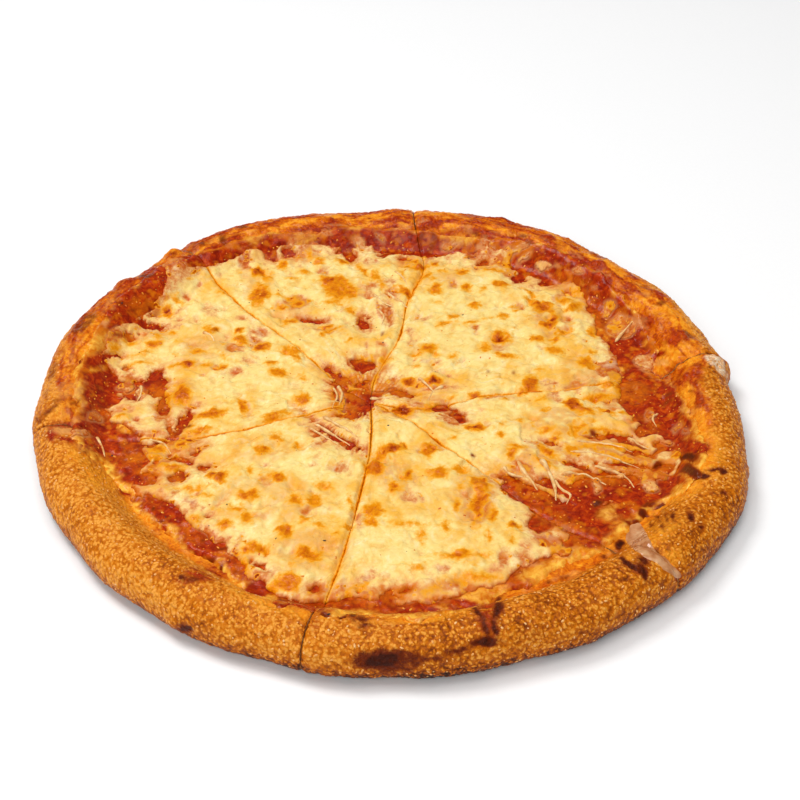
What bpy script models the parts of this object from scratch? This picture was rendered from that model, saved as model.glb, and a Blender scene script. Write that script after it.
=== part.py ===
"""A cheese and tomato pizza, baked and cut into six slices that lie together.

Each slice is three solids, one on the other: the crust with its raised rim,
the tomato sauce spread on it, and the melted cheese on top. All six slices of
a layer come from one turned sheet that is shaped by formulas and then cut by
six wavy wedges. Metres, +Z up, underside at z = 0, centre of the round at the
origin, the side that faces the viewer at -Y.
"""
import math

import bmesh
import bpy
from mathutils import Vector

MM = 0.001

# The round as a whole: mean radius, and how far each wave of the outline
# moves it, as (waves in a turn, cosine part, sine part) in shares of it.
RADIUS = 150.0 * MM
OUTLINE_WAVES = (
    (2, 0.0037, -0.0192),
    (3, -0.0025, -0.0006),
    (4, -0.0066, -0.0025),
    (5, -0.0041, -0.0036),
    (7, -0.0021, 0.0038),
    (8, -0.0032, -0.0012),
    (10, -0.0030, 0.0004),
    (11, -0.0015, -0.0040),
    (12, 0.0015, 0.0008),
)
TURN_STEPS = 120

# The rim. It stands highest at the front and is lower at the back.
RIM_HEIGHT = 20.0 * MM
RIM_WIDTH = 29.0 * MM
RIM_FADE = 12.0 * MM
RIM_BACK_SHARE = 0.90
RIM_UNDERCUT = 9.0 * MM
RIM_SECTION = (
    # From the inner slope over the top and down the outer side: how far in
    # from the edge, and how high as a share of the rim's height.
    (22.0 * MM, 0.70),
    (18.5 * MM, 0.90),
    (14.0 * MM, 1.00),
    (9.0 * MM, 0.985),
    (4.5 * MM, 0.87),
    (1.2 * MM, 0.67),
    (0.0 * MM, 0.42),
    (1.2 * MM, 0.20),
    (4.5 * MM, 0.06),
)
RIM_LUMPS = (
    # Lumps along the rim: waves in a turn, phase, share of the height.
    (5, 1.0, 0.022),
    (9, 2.3, 0.020),
    (14, 0.4, 0.022),
    (23, 4.1, 0.020),
)
RIM_SWELLS = (
    # Swells of the rim's outer side: waves in a turn, phase, metres.
    (11, 0.7, 0.5 * MM),
    (19, 3.2, 0.5 * MM),
)

# The crumb that was torn out of the rim where the right-hand cut ends.
TORN_ANGLE = math.radians(8.0)
TORN_SPREAD = math.radians(2.6)
TORN_REACH = 4.0 * MM

# The layers, by the heights of their tops.
CRUST_FLOOR = 6.5 * MM
SAUCE_TOP = 8.3 * MM
CHEESE_TOP = 11.4 * MM
LAYER_GAP = 0.3 * MM

# Inside the rim the layers are flat. Each has an outer ring where the flat
# ends, and a middle ring that only keeps its faces short.
FLAT_RADIUS = RADIUS - RIM_WIDTH - 4.0 * MM
MIDDLE_RADIUS = 0.5 * RADIUS
FLAT_RISE = 0.3 * MM

# The sauce runs a little up the rim's inner slope to a thin lip.
SAUCE_INSET = 25.5 * MM
SAUCE_CLIMB = 0.48 * RIM_HEIGHT
SAUCE_LIP = 0.9 * MM
SAUCE_LIP_SLOPE = 0.7 * MM

# The cheese stops short of the rim in a wavy edge with a rounded shoulder.
CHEESE_INSET = 34.0 * MM
CHEESE_SHOULDER = (
    # How far in from the cheese's edge, and share of its thickness.
    (7.0 * MM, 1.00),
    (2.2 * MM, 0.72),
    (0.0 * MM, 0.30),
    (0.3 * MM, 0.00),
)
CHEESE_EDGE_WAVES = (
    # Waves in a turn, phase, metres.
    (3, 2.6, 1.5 * MM),
    (7, 0.9, 1.6 * MM),
    (12, 5.0, 1.4 * MM),
    (19, 1.7, 1.1 * MM),
)
CHEESE_RING_STEP = 12.5 * MM
CHEESE_BUMPS = (
    # Soft bumps of melted cheese: waves per metre in x and y, phase, metres.
    (38.0, 21.0, 0.3, 0.45 * MM),
    (-17.0, 41.0, 1.9, 0.45 * MM),
    (29.0, -52.0, 4.0, 0.35 * MM),
    (61.0, 33.0, 2.2, 0.30 * MM),
)

# Places where the cheese has run apart and the sauce lies bare:
# centre x, centre y, length, width, turn in degrees.
BARE_PATCHES = (
    (-7.5 * MM, 6.0 * MM, 30.0 * MM, 24.0 * MM, 70.0),
    (9.5 * MM, 114.0 * MM, 30.0 * MM, 16.0 * MM, -6.0),
    (-86.0 * MM, 101.0 * MM, 22.0 * MM, 13.0 * MM, 40.0),
    (79.0 * MM, 101.0 * MM, 26.0 * MM, 10.0 * MM, 70.0),
    (98.0 * MM, 69.0 * MM, 24.0 * MM, 12.0 * MM, 75.0),
    (109.5 * MM, 37.5 * MM, 24.0 * MM, 17.0 * MM, 80.0),
    (114.0 * MM, -9.5 * MM, 32.0 * MM, 15.0 * MM, 95.0),
    (83.0 * MM, -55.0 * MM, 34.0 * MM, 13.0 * MM, 10.0),
    (46.0 * MM, -101.5 * MM, 20.0 * MM, 10.0 * MM, 15.0),
    (-68.5 * MM, -82.0 * MM, 24.0 * MM, 11.0 * MM, -38.0),
    (-107.5 * MM, -31.0 * MM, 32.0 * MM, 14.0 * MM, -28.0),
    (-113.5 * MM, 10.0 * MM, 26.0 * MM, 13.0 * MM, 10.0),
)
PATCH_POINTS = 18
PATCH_WAVES = ((3, 0.4, 0.09), (5, 2.1, 0.07))

# The six cuts run out from one hub, a little off the centre of the round.
# Each is the bearing of its straight run, in degrees, and how far the wheel
# swayed off it, in mm: sine waves of one, two, three, four and five half
# turns. In order: right, back, back left, left, front, front right.
HUB = Vector((-7.7 * MM, 2.2 * MM))
CUT_RUN = 150.0 * MM
CUT_BEYOND = 30.0 * MM
CUT_STEP = 10.0 * MM
CUT_HALF_GAP = 0.28 * MM
CUTS = (
    (7.7, (-5.0, -2.6, -1.0, -2.0, -1.0)),
    (81.7, (-7.7, 1.7, 0.5, -0.4, 1.8)),
    (130.1, (0.9, 1.1, -0.4, 1.0, 0.2)),
    (188.1, (11.2, -0.1, -1.0, -0.9, 0.1)),
    (260.7, (6.5, 0.8, 0.4, 0.3, 0.0)),
    (316.6, (-2.5, 1.7, 0.9, -0.5, 1.0)),
)

# Where a cut goes over the rim, the wheel pressed it down.
RIM_CROSSING = 140.0 * MM
PINCH_DEPTH = 1.3 * MM
PINCH_SPREAD = 5.0 * MM

# The wedges that cut the slices reach past the round on every side.
WEDGE_LOW = -5.0 * MM
WEDGE_HIGH = 35.0 * MM
WEDGE_REACH = 250.0 * MM

WELD = 0.00001

MATERIALS = {
    # Layer: base colour, roughness.
    "crust": ((0.60, 0.29, 0.075), 0.62),
    "sauce": ((0.38, 0.035, 0.008), 0.28),
    "cheese": ((0.93, 0.72, 0.30), 0.34),
}


def clear_scene():
    for obj in list(bpy.data.objects):
        bpy.data.objects.remove(obj, do_unlink=True)


def make_collection(name):
    collection = bpy.data.collections.new(name)
    bpy.context.scene.collection.children.link(collection)
    return collection


def make_material(layer):
    colour, roughness = MATERIALS[layer]
    material = bpy.data.materials.new(layer)
    material.use_nodes = True
    shader = material.node_tree.nodes["Principled BSDF"]
    shader.inputs["Base Color"].default_value = (*colour, 1.0)
    shader.inputs["Roughness"].default_value = roughness
    shader.inputs["Metallic"].default_value = 0.0
    return material


def outline_radius(angle):
    """Radius of the round at an angle, torn crumb included."""
    share = 1.0
    for waves, cosine, sine in OUTLINE_WAVES:
        share += cosine * math.cos(waves * angle) + sine * math.sin(waves * angle)
    away = math.remainder(angle - TORN_ANGLE, 2 * math.pi) / TORN_SPREAD
    return RADIUS * share + TORN_REACH * math.exp(-away * away)


def wave_sum(waves, angle):
    return sum(size * math.sin(count * angle + phase) for count, phase, size in waves)


def smooth_step(low, high, value):
    share = min(max((value - low) / (high - low), 0.0), 1.0)
    return share * share * (3.0 - 2.0 * share)


def cut_point(cut, run, side=0.0):
    """A point on a cut, `run` out from the hub, moved `side` to its left."""
    degrees, sways = cut
    bearing = math.radians(degrees)
    along = Vector((math.cos(bearing), math.sin(bearing)))
    left = Vector((-along.y, along.x))
    turn = math.pi * min(run, CUT_RUN) / CUT_RUN
    sway = sum(size * MM * math.sin((n + 1) * turn) for n, size in enumerate(sways))
    return HUB + along * run + left * (sway + side)


def cut_ends():
    """Angle about the centre at which each cut goes over the rim."""
    ends = [cut_point(cut, RIM_CROSSING) for cut in CUTS]
    return [math.atan2(end.y, end.x) for end in ends]


CUT_ENDS = cut_ends()


def rim_share(angle):
    """Height of the rim at an angle, as a share of its greatest height."""
    back = 0.5 + 0.5 * math.sin(angle)
    share = 1.0 + (RIM_BACK_SHARE - 1.0) * back + wave_sum(RIM_LUMPS, angle)
    for end in CUT_ENDS:
        away = math.remainder(angle - end, 2 * math.pi) * RADIUS / PINCH_SPREAD
        share -= PINCH_DEPTH / RIM_HEIGHT * math.exp(-away * away)
    return share


def turned_sheet(name, profile):
    """A profile of (radius, height) points, top to bottom on its outer side,
    turned about Z into one closed mesh."""
    mesh = bpy.data.meshes.new(name + "_profile")
    points = [(radius, 0.0, height) for radius, height in profile]
    edges = [(i, i + 1) for i in range(len(points) - 1)]
    mesh.from_pydata(points, edges, [])
    obj = bpy.data.objects.new(name + "_profile", mesh)
    bpy.context.scene.collection.objects.link(obj)
    screw = obj.modifiers.new("Turn", "SCREW")
    screw.axis = "Z"
    screw.angle = 2 * math.pi
    screw.steps = TURN_STEPS
    screw.render_steps = TURN_STEPS
    screw.use_merge_vertices = True
    screw.merge_threshold = WELD
    return as_mesh(obj, name + "_sheet")


def as_mesh(obj, name):
    """The evaluated shape of an object as a mesh of its own; the object goes."""
    bpy.context.view_layer.update()
    depsgraph = bpy.context.evaluated_depsgraph_get()
    mesh = bpy.data.meshes.new_from_object(obj.evaluated_get(depsgraph))
    mesh.name = name
    bpy.data.objects.remove(obj, do_unlink=True)
    shape = bmesh.new()
    shape.from_mesh(mesh)
    bmesh.ops.remove_doubles(shape, verts=shape.verts, dist=WELD)
    bmesh.ops.triangulate(shape, faces=shape.faces)
    bmesh.ops.recalc_face_normals(shape, faces=shape.faces)
    shape.to_mesh(mesh)
    shape.free()
    return mesh


def reshape(mesh, rule):
    """Move each vertex by a rule of its radius, angle and height."""
    for vertex in mesh.vertices:
        radius = math.hypot(vertex.co.x, vertex.co.y)
        angle = math.atan2(vertex.co.y, vertex.co.x)
        radius, height = rule(radius, angle, vertex.co.z)
        vertex.co = (radius * math.cos(angle), radius * math.sin(angle), height)


def rim_rule(radius, angle, height):
    """The crust and the sauce: wavy outline, uneven rim."""
    inset = RADIUS - radius
    on_rim = smooth_step(RIM_WIDTH, RIM_WIDTH - RIM_FADE, inset)
    upper = smooth_step(CRUST_FLOOR, RIM_HEIGHT, height)
    share = 1.0 + (rim_share(angle) - 1.0) * upper
    outer = smooth_step(RIM_UNDERCUT, 0.0, inset)
    swell = wave_sum(RIM_SWELLS, angle) * outer
    height = height * (1.0 + (share - 1.0) * on_rim)
    return radius * outline_radius(angle) / RADIUS + swell, height


def cheese_rule(radius, angle, height):
    """The cheese: its edge waves in and out, and its top has soft bumps."""
    edge = RADIUS - CHEESE_INSET
    wavy = edge + wave_sum(CHEESE_EDGE_WAVES, angle)
    radius = radius * (wavy / edge) * outline_radius(angle) / RADIUS
    x = radius * math.cos(angle)
    y = radius * math.sin(angle)
    top = smooth_step(SAUCE_TOP + LAYER_GAP, CHEESE_TOP, height)
    for wave_x, wave_y, phase, size in CHEESE_BUMPS:
        height += top * size * math.sin(2 * math.pi * (wave_x * x + wave_y * y) + phase)
    return radius, height


def crust_profile():
    rim = [(RADIUS - inset, share * RIM_HEIGHT) for inset, share in RIM_SECTION]
    return [
        (0.0, CRUST_FLOOR),
        (MIDDLE_RADIUS, CRUST_FLOOR),
        (FLAT_RADIUS, CRUST_FLOOR),
        (RADIUS - RIM_WIDTH, CRUST_FLOOR + FLAT_RISE),
        (RADIUS - SAUCE_INSET, SAUCE_CLIMB),
        *rim,
        (RADIUS - RIM_UNDERCUT, 0.0),
        (0.0, 0.0),
    ]


def sauce_profile():
    floor = CRUST_FLOOR + LAYER_GAP
    lip = RADIUS - SAUCE_INSET
    return [
        (0.0, SAUCE_TOP),
        (MIDDLE_RADIUS, SAUCE_TOP),
        (FLAT_RADIUS, SAUCE_TOP),
        (RADIUS - RIM_WIDTH, SAUCE_TOP + FLAT_RISE),
        (lip - SAUCE_LIP_SLOPE, SAUCE_CLIMB + SAUCE_LIP),
        (lip, SAUCE_CLIMB + LAYER_GAP),
        (RADIUS - RIM_WIDTH, floor + FLAT_RISE),
        (FLAT_RADIUS, floor),
        (MIDDLE_RADIUS, floor),
        (0.0, floor),
    ]


def cheese_profile():
    edge = RADIUS - CHEESE_INSET
    bottom = SAUCE_TOP + LAYER_GAP
    shoulder = [
        (edge - inset, bottom + share * (CHEESE_TOP - bottom))
        for inset, share in CHEESE_SHOULDER
    ]
    flat = shoulder[0][0]
    rings = int(flat / CHEESE_RING_STEP)
    top = [(flat * i / rings, CHEESE_TOP) for i in range(rings)]
    return top + shoulder + [(0.0, bottom)]


def prism(name, outline, collection):
    """A flat outline stood up as a cutter, from below the round to above it."""
    curve = bpy.data.curves.new(name, "CURVE")
    curve.dimensions = "2D"
    curve.fill_mode = "BOTH"
    curve.extrude = (WEDGE_HIGH - WEDGE_LOW) / 2
    spline = curve.splines.new("POLY")
    spline.points.add(len(outline) - 1)
    for point, spot in zip(spline.points, outline):
        point.co = (spot.x, spot.y, 0.0, 1.0)
    spline.use_cyclic_u = True
    obj = bpy.data.objects.new(name + "_outline", curve)
    bpy.context.scene.collection.objects.link(obj)
    mesh = as_mesh(obj, name)
    cutter = bpy.data.objects.new(name, mesh)
    cutter.location.z = (WEDGE_HIGH + WEDGE_LOW) / 2
    cutter.display_type = "WIRE"
    cutter.hide_render = True
    collection.objects.link(cutter)
    return cutter


def wedge_outline(first, second):
    """Outline of one slice, from the cut on its right to the one on its left."""
    runs = [CUT_STEP * (i + 1) for i in range(int(CUT_RUN / CUT_STEP))]
    runs.append(CUT_RUN + CUT_BEYOND)
    right = [cut_point(first, run, CUT_HALF_GAP) for run in runs]
    left = [cut_point(second, run, -CUT_HALF_GAP) for run in runs]
    toward_right = (right[0] - HUB).normalized()
    toward_left = (left[0] - HUB).normalized()
    middle = (toward_right + toward_left).normalized()
    half_angle = math.acos(toward_right.dot(toward_left)) / 2
    tip = HUB + middle * (CUT_HALF_GAP / math.sin(half_angle))
    beyond = HUB + middle * WEDGE_REACH
    return [tip] + right + [beyond] + left[::-1]


def patch_outline(x, y, length, width, degrees):
    """A wavy oval, for a bare place in the cheese."""
    turn = math.radians(degrees)
    points = []
    for i in range(PATCH_POINTS):
        angle = 2 * math.pi * i / PATCH_POINTS
        share = 1.0 + wave_sum(PATCH_WAVES, angle)
        along = 0.5 * length * share * math.cos(angle)
        across = 0.5 * width * share * math.sin(angle)
        points.append(Vector((
            x + along * math.cos(turn) - across * math.sin(turn),
            y + along * math.sin(turn) + across * math.cos(turn),
        )))
    return points


def add_boolean(obj, name, operation, cutter):
    boolean = obj.modifiers.new(name, "BOOLEAN")
    boolean.operation = operation
    boolean.solver = "EXACT"
    boolean.object = cutter


def open_patches(mesh, patches):
    """Cut every bare patch out of the cheese sheet."""
    obj = bpy.data.objects.new("cheese_patched", mesh)
    bpy.context.scene.collection.objects.link(obj)
    for patch in patches:
        add_boolean(obj, patch.name, "DIFFERENCE", patch)
    return as_mesh(obj, "cheese_sheet")


def cut_layer(layer, mesh, wedges, collection):
    """The six slices of one layer."""
    mesh.materials.clear()
    mesh.materials.append(make_material(layer))
    for number, wedge in enumerate(wedges, start=1):
        piece = bpy.data.objects.new(f"{layer}_{number}", mesh)
        collection.objects.link(piece)
        add_boolean(piece, "Slice", "INTERSECT", wedge)


def main():
    clear_scene()
    parts = make_collection("Pizza")
    cutters = make_collection("Cutters")

    crust = turned_sheet("crust", crust_profile())
    reshape(crust, rim_rule)
    sauce = turned_sheet("sauce", sauce_profile())
    reshape(sauce, rim_rule)
    cheese = turned_sheet("cheese", cheese_profile())
    reshape(cheese, cheese_rule)

    patches = []
    for number, patch in enumerate(BARE_PATCHES, start=1):
        patches.append(prism(f"bare_patch_{number}", patch_outline(*patch), cutters))
    cheese = open_patches(cheese, patches)

    wedges = []
    for number, first in enumerate(CUTS):
        second = CUTS[(number + 1) % len(CUTS)]
        outline = wedge_outline(first, second)
        wedges.append(prism(f"wedge_{number + 1}", outline, cutters))

    cut_layer("crust", crust, wedges, parts)
    cut_layer("sauce", sauce, wedges, parts)
    cut_layer("cheese", cheese, wedges, parts)


main()
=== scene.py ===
"""The looks of a margherita pizza: a baked crust with a grainy rim, wet tomato
sauce and melted mozzarella, cut into six slices that lie together.

Lengths in the making are millimetres; a mesh gets metres at the very end.
+Z is up, the underside is at z = 0 and the side that faces the viewer is at -Y.
"""

import functools
import itertools
import math

import bpy
import numpy as np
from mathutils import Matrix, Vector, geometry


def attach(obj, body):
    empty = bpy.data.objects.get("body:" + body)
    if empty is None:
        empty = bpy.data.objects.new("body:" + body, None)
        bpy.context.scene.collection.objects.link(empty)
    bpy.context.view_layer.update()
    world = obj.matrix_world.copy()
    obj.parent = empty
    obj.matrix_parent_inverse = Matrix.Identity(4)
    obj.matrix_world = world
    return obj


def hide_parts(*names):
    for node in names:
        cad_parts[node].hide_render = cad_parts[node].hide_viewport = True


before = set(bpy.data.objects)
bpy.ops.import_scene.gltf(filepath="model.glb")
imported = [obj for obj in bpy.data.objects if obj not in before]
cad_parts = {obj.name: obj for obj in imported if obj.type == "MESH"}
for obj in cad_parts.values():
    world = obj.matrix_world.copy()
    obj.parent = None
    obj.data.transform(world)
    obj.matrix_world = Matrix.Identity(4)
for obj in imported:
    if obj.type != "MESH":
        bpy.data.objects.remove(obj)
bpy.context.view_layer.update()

bl_info = {
    "name": "Margherita Pizza",
    "version": (1, 0, 0),
    "blender": (4, 5, 0),
    "location": "View3D > Sidebar > Pizza",
    "description": "Makes a baked margherita pizza of six slices",
    "category": "Add Mesh",
}

MM = 0.001
BODY = "root"
TURN = 2.0 * math.pi

# The round, as the solids have it.

RADIUS = 150.0
OUTLINE_WAVES = (
    # Waves in a turn, cosine part, sine part, in shares of the radius.
    (2, 0.0037, -0.0192),
    (3, -0.0025, -0.0006),
    (4, -0.0066, -0.0025),
    (5, -0.0041, -0.0036),
    (7, -0.0021, 0.0038),
    (8, -0.0032, -0.0012),
    (10, -0.0030, 0.0004),
    (11, -0.0015, -0.0040),
    (12, 0.0015, 0.0008),
)
TORN_ANGLE = math.radians(8.0)
TORN_SPREAD = math.radians(2.6)
TORN_REACH = 4.0

RIM_HEIGHT = 20.0
RIM_WIDTH = 29.0
RIM_FADE = 12.0
RIM_BACK_SHARE = 0.90
RIM_UNDERCUT = 9.0
CRUST_FLOOR = 6.5
WIDEST_AT = 8.4
RIM_SECTION = (
    # From the floor over the rim to the underside: how far in from the edge,
    # and the height.
    (45.0, 6.5),
    (33.0, 6.5),
    (29.0, 6.8),
    (25.5, 9.6),
    (22.0, 14.0),
    (18.5, 18.0),
    (14.0, 20.0),
    (9.0, 19.7),
    (4.5, 17.4),
    (1.2, 13.4),
    (0.0, WIDEST_AT),
    (1.2, 4.0),
    (4.5, 1.2),
    (9.0, 0.0),
    (15.0, 0.0),
)
SECTION_STEP = 0.2
RIM_LUMPS = ((5, 1.0, 0.022), (9, 2.3, 0.020), (14, 0.4, 0.022), (23, 4.1, 0.020))
RIM_SWELLS = ((11, 0.7, 0.5), (19, 3.2, 0.5))

SAUCE_THICK = 1.8

HUB = (-7.7, 2.2)
CUT_RUN = 150.0
CUT_HALF_GAP = 0.28
TOPPING_HALF_GAP = 0.12
CUTS = (
    # Right, back, back left, left, front, front right: the bearing in degrees
    # and how far the wheel swayed, as sine waves of one to five half turns.
    (7.7, (-5.0, -2.6, -1.0, -2.0, -1.0)),
    (81.7, (-7.7, 1.7, 0.5, -0.4, 1.8)),
    (130.1, (0.9, 1.1, -0.4, 1.0, 0.2)),
    (188.1, (11.2, -0.1, -1.0, -0.9, 0.1)),
    (260.7, (6.5, 0.8, 0.4, 0.3, 0.0)),
    (316.6, (-2.5, 1.7, 0.9, -0.5, 1.0)),
)
RIM_CROSSING = 140.0
PINCH_DEPTH = 1.3
PINCH_SPREAD = 5.0

# Where the camera stands, and the height at which marks are laid out.

EYE = (5.05, -528.14, 442.43)
EYE_AXES = (
    (0.999955, -0.005995, -0.007351),
    (0.009485, 0.632016, 0.774897),
    (0.0, 0.774932, -0.632045),
)
LENS = 71.78
MARK_HEIGHT = 11.0

# Marks on the plan: centre x, centre y, length, width, turn in degrees.

POOLS = (
    # Bare places where the sauce shows.
    (96, -40, 22, 3, -10), (86, -45, 18, 3, 5), (104, -33, 12, 3, -20), (78, -41, 14, 2.6, -30),
    (112, -43, 8, 6, 0), (100, -26, 10, 3, -30), (92, -22, 12, 2.4, 0), (-14, 4, 12, 15, 0),
    (-8, 14, 12, 7, 0), (5, 8, 12, 5, -20), (-20, 16, 8, 7, 0), (68, -26, 8, 2.4, -20),
    (-96, -24, 12, 3, 20), (-86, -34, 10, 3, -30), (-92, -14, 3, 10, 20), (-76, -40, 5, 3, 0),
    (60, -60, 34, 12, -40), (88, -57, 40, 10, 0), (102, -57, 24, 10, 8), (92, -50, 34, 6, 0),
    (70, -52, 24, 6, -20), (76, -64, 18, 10, 0), (66, -71, 26, 8, -38), (-118, 15, 14, 8, -20),
    (-108, 14, 8, 10, 0), (-121, 5, 12, 8, 20), (-112, 92, 10, 22, 0), (-120, 78, 16, 14, 20),
    (-20, 9, 7, 12, 10), (-16, -7, 10, 4, 0), (62, 93, 6, 8, 0), (100, 88, 12, 16, 0),
    (88, 104, 16, 14, 30), (106, 66, 8, 20, 0), (104, -4, 6, 14, 0), (116, -30, 8, 10, 0),
    (-88, 109, 27, 12, 8), (-57, 120, 18, 8, 98), (-108, 91, 24, 9, 95), (-127, 65, 16, 4, -35),
    (-110, 58, 14, 4, -8), (-126, 32, 11, 4, 25), (-101, 16, 20, 9, 100), (-97, 1, 14, 4, 105),
    (-126, 17, 8, 5, 0), (-112, 11, 14, 7, -40), (-126, 2, 12, 5, 95), (-36, 61, 9, 3.2, -5),
    (-11, 59, 5, 8, 10), (-11, 28, 9, 12, 20), (-13, 0, 14, 12, 20), (-21, 19, 14, 3.2, -42),
    (-27, 25, 6, 3.0, -40), (-7, 8, 9, 8, 0), (-2, 12, 10, 5, 25), (-20, 117, 14, 5, 110),
    (-25, 129, 14, 5, 80), (-49, 115, 5, 4, 0), (4, 125, 26, 13, -5), (10, 117, 34, 5, -6),
    (26, 115, 8, 4, 20), (8, 110, 4, 4, 0), (45, 107, 6, 3.5, 30), (65, 101, 12, 8, -15),
    (79, 109, 19, 9, 100), (77, 91, 12, 8, 20), (94, 93, 12, 5, 110), (97, 77, 24, 10, 80),
    (101, 62, 10, 5, 100), (113, 49, 9, 4, 10), (104, 39, 14, 7, 70), (110, 34, 12, 9, 0),
    (120, 32, 7, 3.5, 20), (108, 20, 8, 5, 60), (103, 4, 9, 4, 20), (117, 0, 34, 15, 95),
    (121, -15, 16, 9, 80), (109, -18, 12, 8, 20), (108, -11, 10, 4, -20), (22, -2, 8, 6, 0),
    (29, -8, 8, 5, -50), (80, -55, 25, 11, 0), (105, -57, 15, 6, -15), (66, -65, 34, 10, -30),
    (74, -71, 12, 6, -25), (52, -51, 16, 5, -42), (60, -74, 10, 9, 40), (76, -84, 20, 5, -2),
    (128, -32, 10, 8, 40), (116, -49, 6, 8, 20), (94, -65, 12, 6, 30), (48, -106, 12, 7, 0),
    (12, -120, 25, 4.5, 6), (27, -116, 13, 4, 10), (-1, -112, 7, 4, 60), (-133, -14, 20, 5, 5),
    (-140, -20, 8, 4, 95), (-134, -24, 9, 3, -30), (-115, -25, 26, 14, -15), (-104, -35, 10, 8, 30),
    (-101, -45, 13, 8, -15), (-86, -45, 6, 7, -50), (-105, -56, 7, 5, -50), (-91, -63, 25, 9, -40),
    (-89, -75, 6, 2.4, 90), (-72, -84, 23, 9, -38), (-59, -95, 12, 4, -60), (-50, -108, 9, 10, 10),
    (-33, -118, 20, 4.5, -15), (-17, -117, 12, 3.5, 30), (-24, -18, 22, 2.6, -47),
    (-18, -23, 16, 2.4, -45), (-87, -11, 13, 4, 70), (-80, -30, 4, 3, 60), (-90, -20, 6, 2.4, 0),
    (3, -4, 6, 3, -10), (-125, -28, 6, 2.6, -60),
)

THIN_PLACES = (
    # Cheese so thin that the sauce tints it.
    (-44, 74, 16, 12, 20), (-90, -30, 26, 28, 0), (88, -36, 36, 18, 0), (96, 66, 10, 30, 10),
    (-85, 39, 12, 6, -15), (-88, 29, 18, 4, -14), (-75, 25, 8, 4, -35), (-29, 53, 13, 4, -10),
    (-27, 49, 9, 3, 30), (-1, 64, 9, 24, 10), (2, 80, 8, 12, 20), (-9, 106, 8, 8, 0),
    (45, 110, 12, 16, 30), (60, 116, 10, 20, 20), (95, 56, 7, 14, 0), (18, 11, 26, 7, -5),
    (47, 3, 16, 4, 0), (50, 37, 8, 6, 0), (26, -10, 8, 12, 40), (37, -66, 9, 20, -20),
    (2, -110, 24, 8, 0), (24, -108, 22, 7, 0), (62, -84, 22, 10, 20), (112, -46, 14, 10, 20),
    (-121, 50, 6, 14, 10), (-61, -1, 3, 14, 20), (-29, -20, 20, 5, -47), (-20, -42, 9, 7, 0),
    (-84, -27, 18, 10, 0), (-96, -7, 10, 8, 0), (-112, 18, 16, 6, -20), (-107, 10, 4, 12, 0),
    (-24, 10, 5, 18, 10), (63, -27, 14, 8, 0), (96, -28, 26, 8, -15), (85, -38, 18, 6, -10),
    (56, -44, 18, 8, -50), (-98, 104, 8, 10, 30), (-100, 98, 14, 3, -50), (68, 112, 8, 12, 0),
    (100, 47, 8, 3, 50), (9, -50, 4, 10, 0), (-60, 44, 12, 8, -40), (71, 66, 8, 6, 0),
    (-50, -40, 5, 4, 0), (-87, -36, 12, 6, 20), (90, -6, 12, 4, -10), (-131, 24, 12, 6, 0),
    (-12, 14, 24, 12, 20), (14, -3, 20, 8, -15), (22, 12, 14, 5, 0),
)

OILY = (
    # Cheese soaked with orange oil, with how strong.
    (-19.5, 3, 15, 25, 0, 1.0), (-90, -24, 26, 24, 0, 0.6), (-94, -42, 20, 14, -30, 0.7),
    (74, 56, 16, 26, 0, 0.6), (90, 74, 14, 20, 0, 0.6), (74, -14, 40, 16, 0, 0.5),
    (60, -34, 24, 14, -20, 0.6), (34, -60, 18, 30, 0, 0.5), (2, -46, 14, 26, 20, 0.5),
    (90, -32, 34, 14, 0, 0.7), (26, 92, 30, 10, 0, 0.3), (-52, -30, 30, 16, 0, 0.3),
    (-50, -60, 40, 30, 0, 0.3), (-30, -90, 30, 22, 0, 0.4), (-80, 40, 26, 20, 0, 0.35),
    (84, 20, 16, 24, 0, 0.4), (4, -112, 40, 10, 0, 0.6), (108, -36, 24, 22, 0, 0.8),
    (84, -48, 26, 8, 0, 0.8), (-90, 8, 12, 18, 0, 0.8), (-118, -4, 20, 10, 0, 0.4),
    (-66, 97, 8, 8, 0, 0.4), (52, -46, 16, 8, -45, 0.6), (70, -80, 20, 8, -20, 0.7),
    (96, 4, 14, 20, 0, 0.5), (-3, 30, 7, 19, 10, 0.8), (-12, 15, 30, 10, -20, 1.0),
    (3, 11, 20, 8, 0, 0.7), (5, -6, 13, 7, -15, 0.9), (-12, 33, 16, 6, 0, 0.5),
    (17, 4, 16, 8, 0, 0.45), (56, -54, 26, 9, -42, 0.8), (66, -72, 26, 8, -35, 0.7),
    (-4, -42, 7, 18, 20, 0.7), (34, -66, 14, 22, -10, 0.45), (-45, 68, 16, 20, 0, 0.35),
    (-28, 52, 18, 6, 0, 0.5), (-88, 28, 20, 5, -12, 0.6), (-85, -26, 22, 10, 0, 0.6),
    (-97, 4, 12, 24, 15, 0.7), (-106, 47, 20, 16, 0, 0.4), (-112, 74, 20, 14, 30, 0.6),
    (-20, 84, 20, 22, 0, 0.35), (-60, 88, 14, 26, 0, 0.4), (-40, 110, 22, 8, 0, 0.5),
    (12, 104, 26, 12, 0, 0.6), (48, 104, 20, 10, 20, 0.5), (86, 84, 20, 18, 0, 0.5),
    (100, 60, 16, 20, 0, 0.6), (104, 8, 18, 18, 0, 0.7), (106, -16, 16, 14, 0, 0.6),
    (100, -45, 30, 10, 0, 0.5), (40, -106, 30, 10, 0, 0.6), (66, -88, 20, 8, 0, 0.6),
    (-20, -112, 26, 10, 0, 0.4), (-56, -98, 12, 14, 0, 0.5), (-78, -78, 14, 8, -30, 0.4),
    (-96, -54, 16, 10, -30, 0.4), (-108, -30, 14, 16, 0, 0.4), (80, -44, 30, 8, 0, 0.35),
    (71, 60, 12, 20, 0, 0.4), (50, 42, 12, 14, 0, 0.4), (18, 36, 16, 8, 0, 0.4),
)

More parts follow.
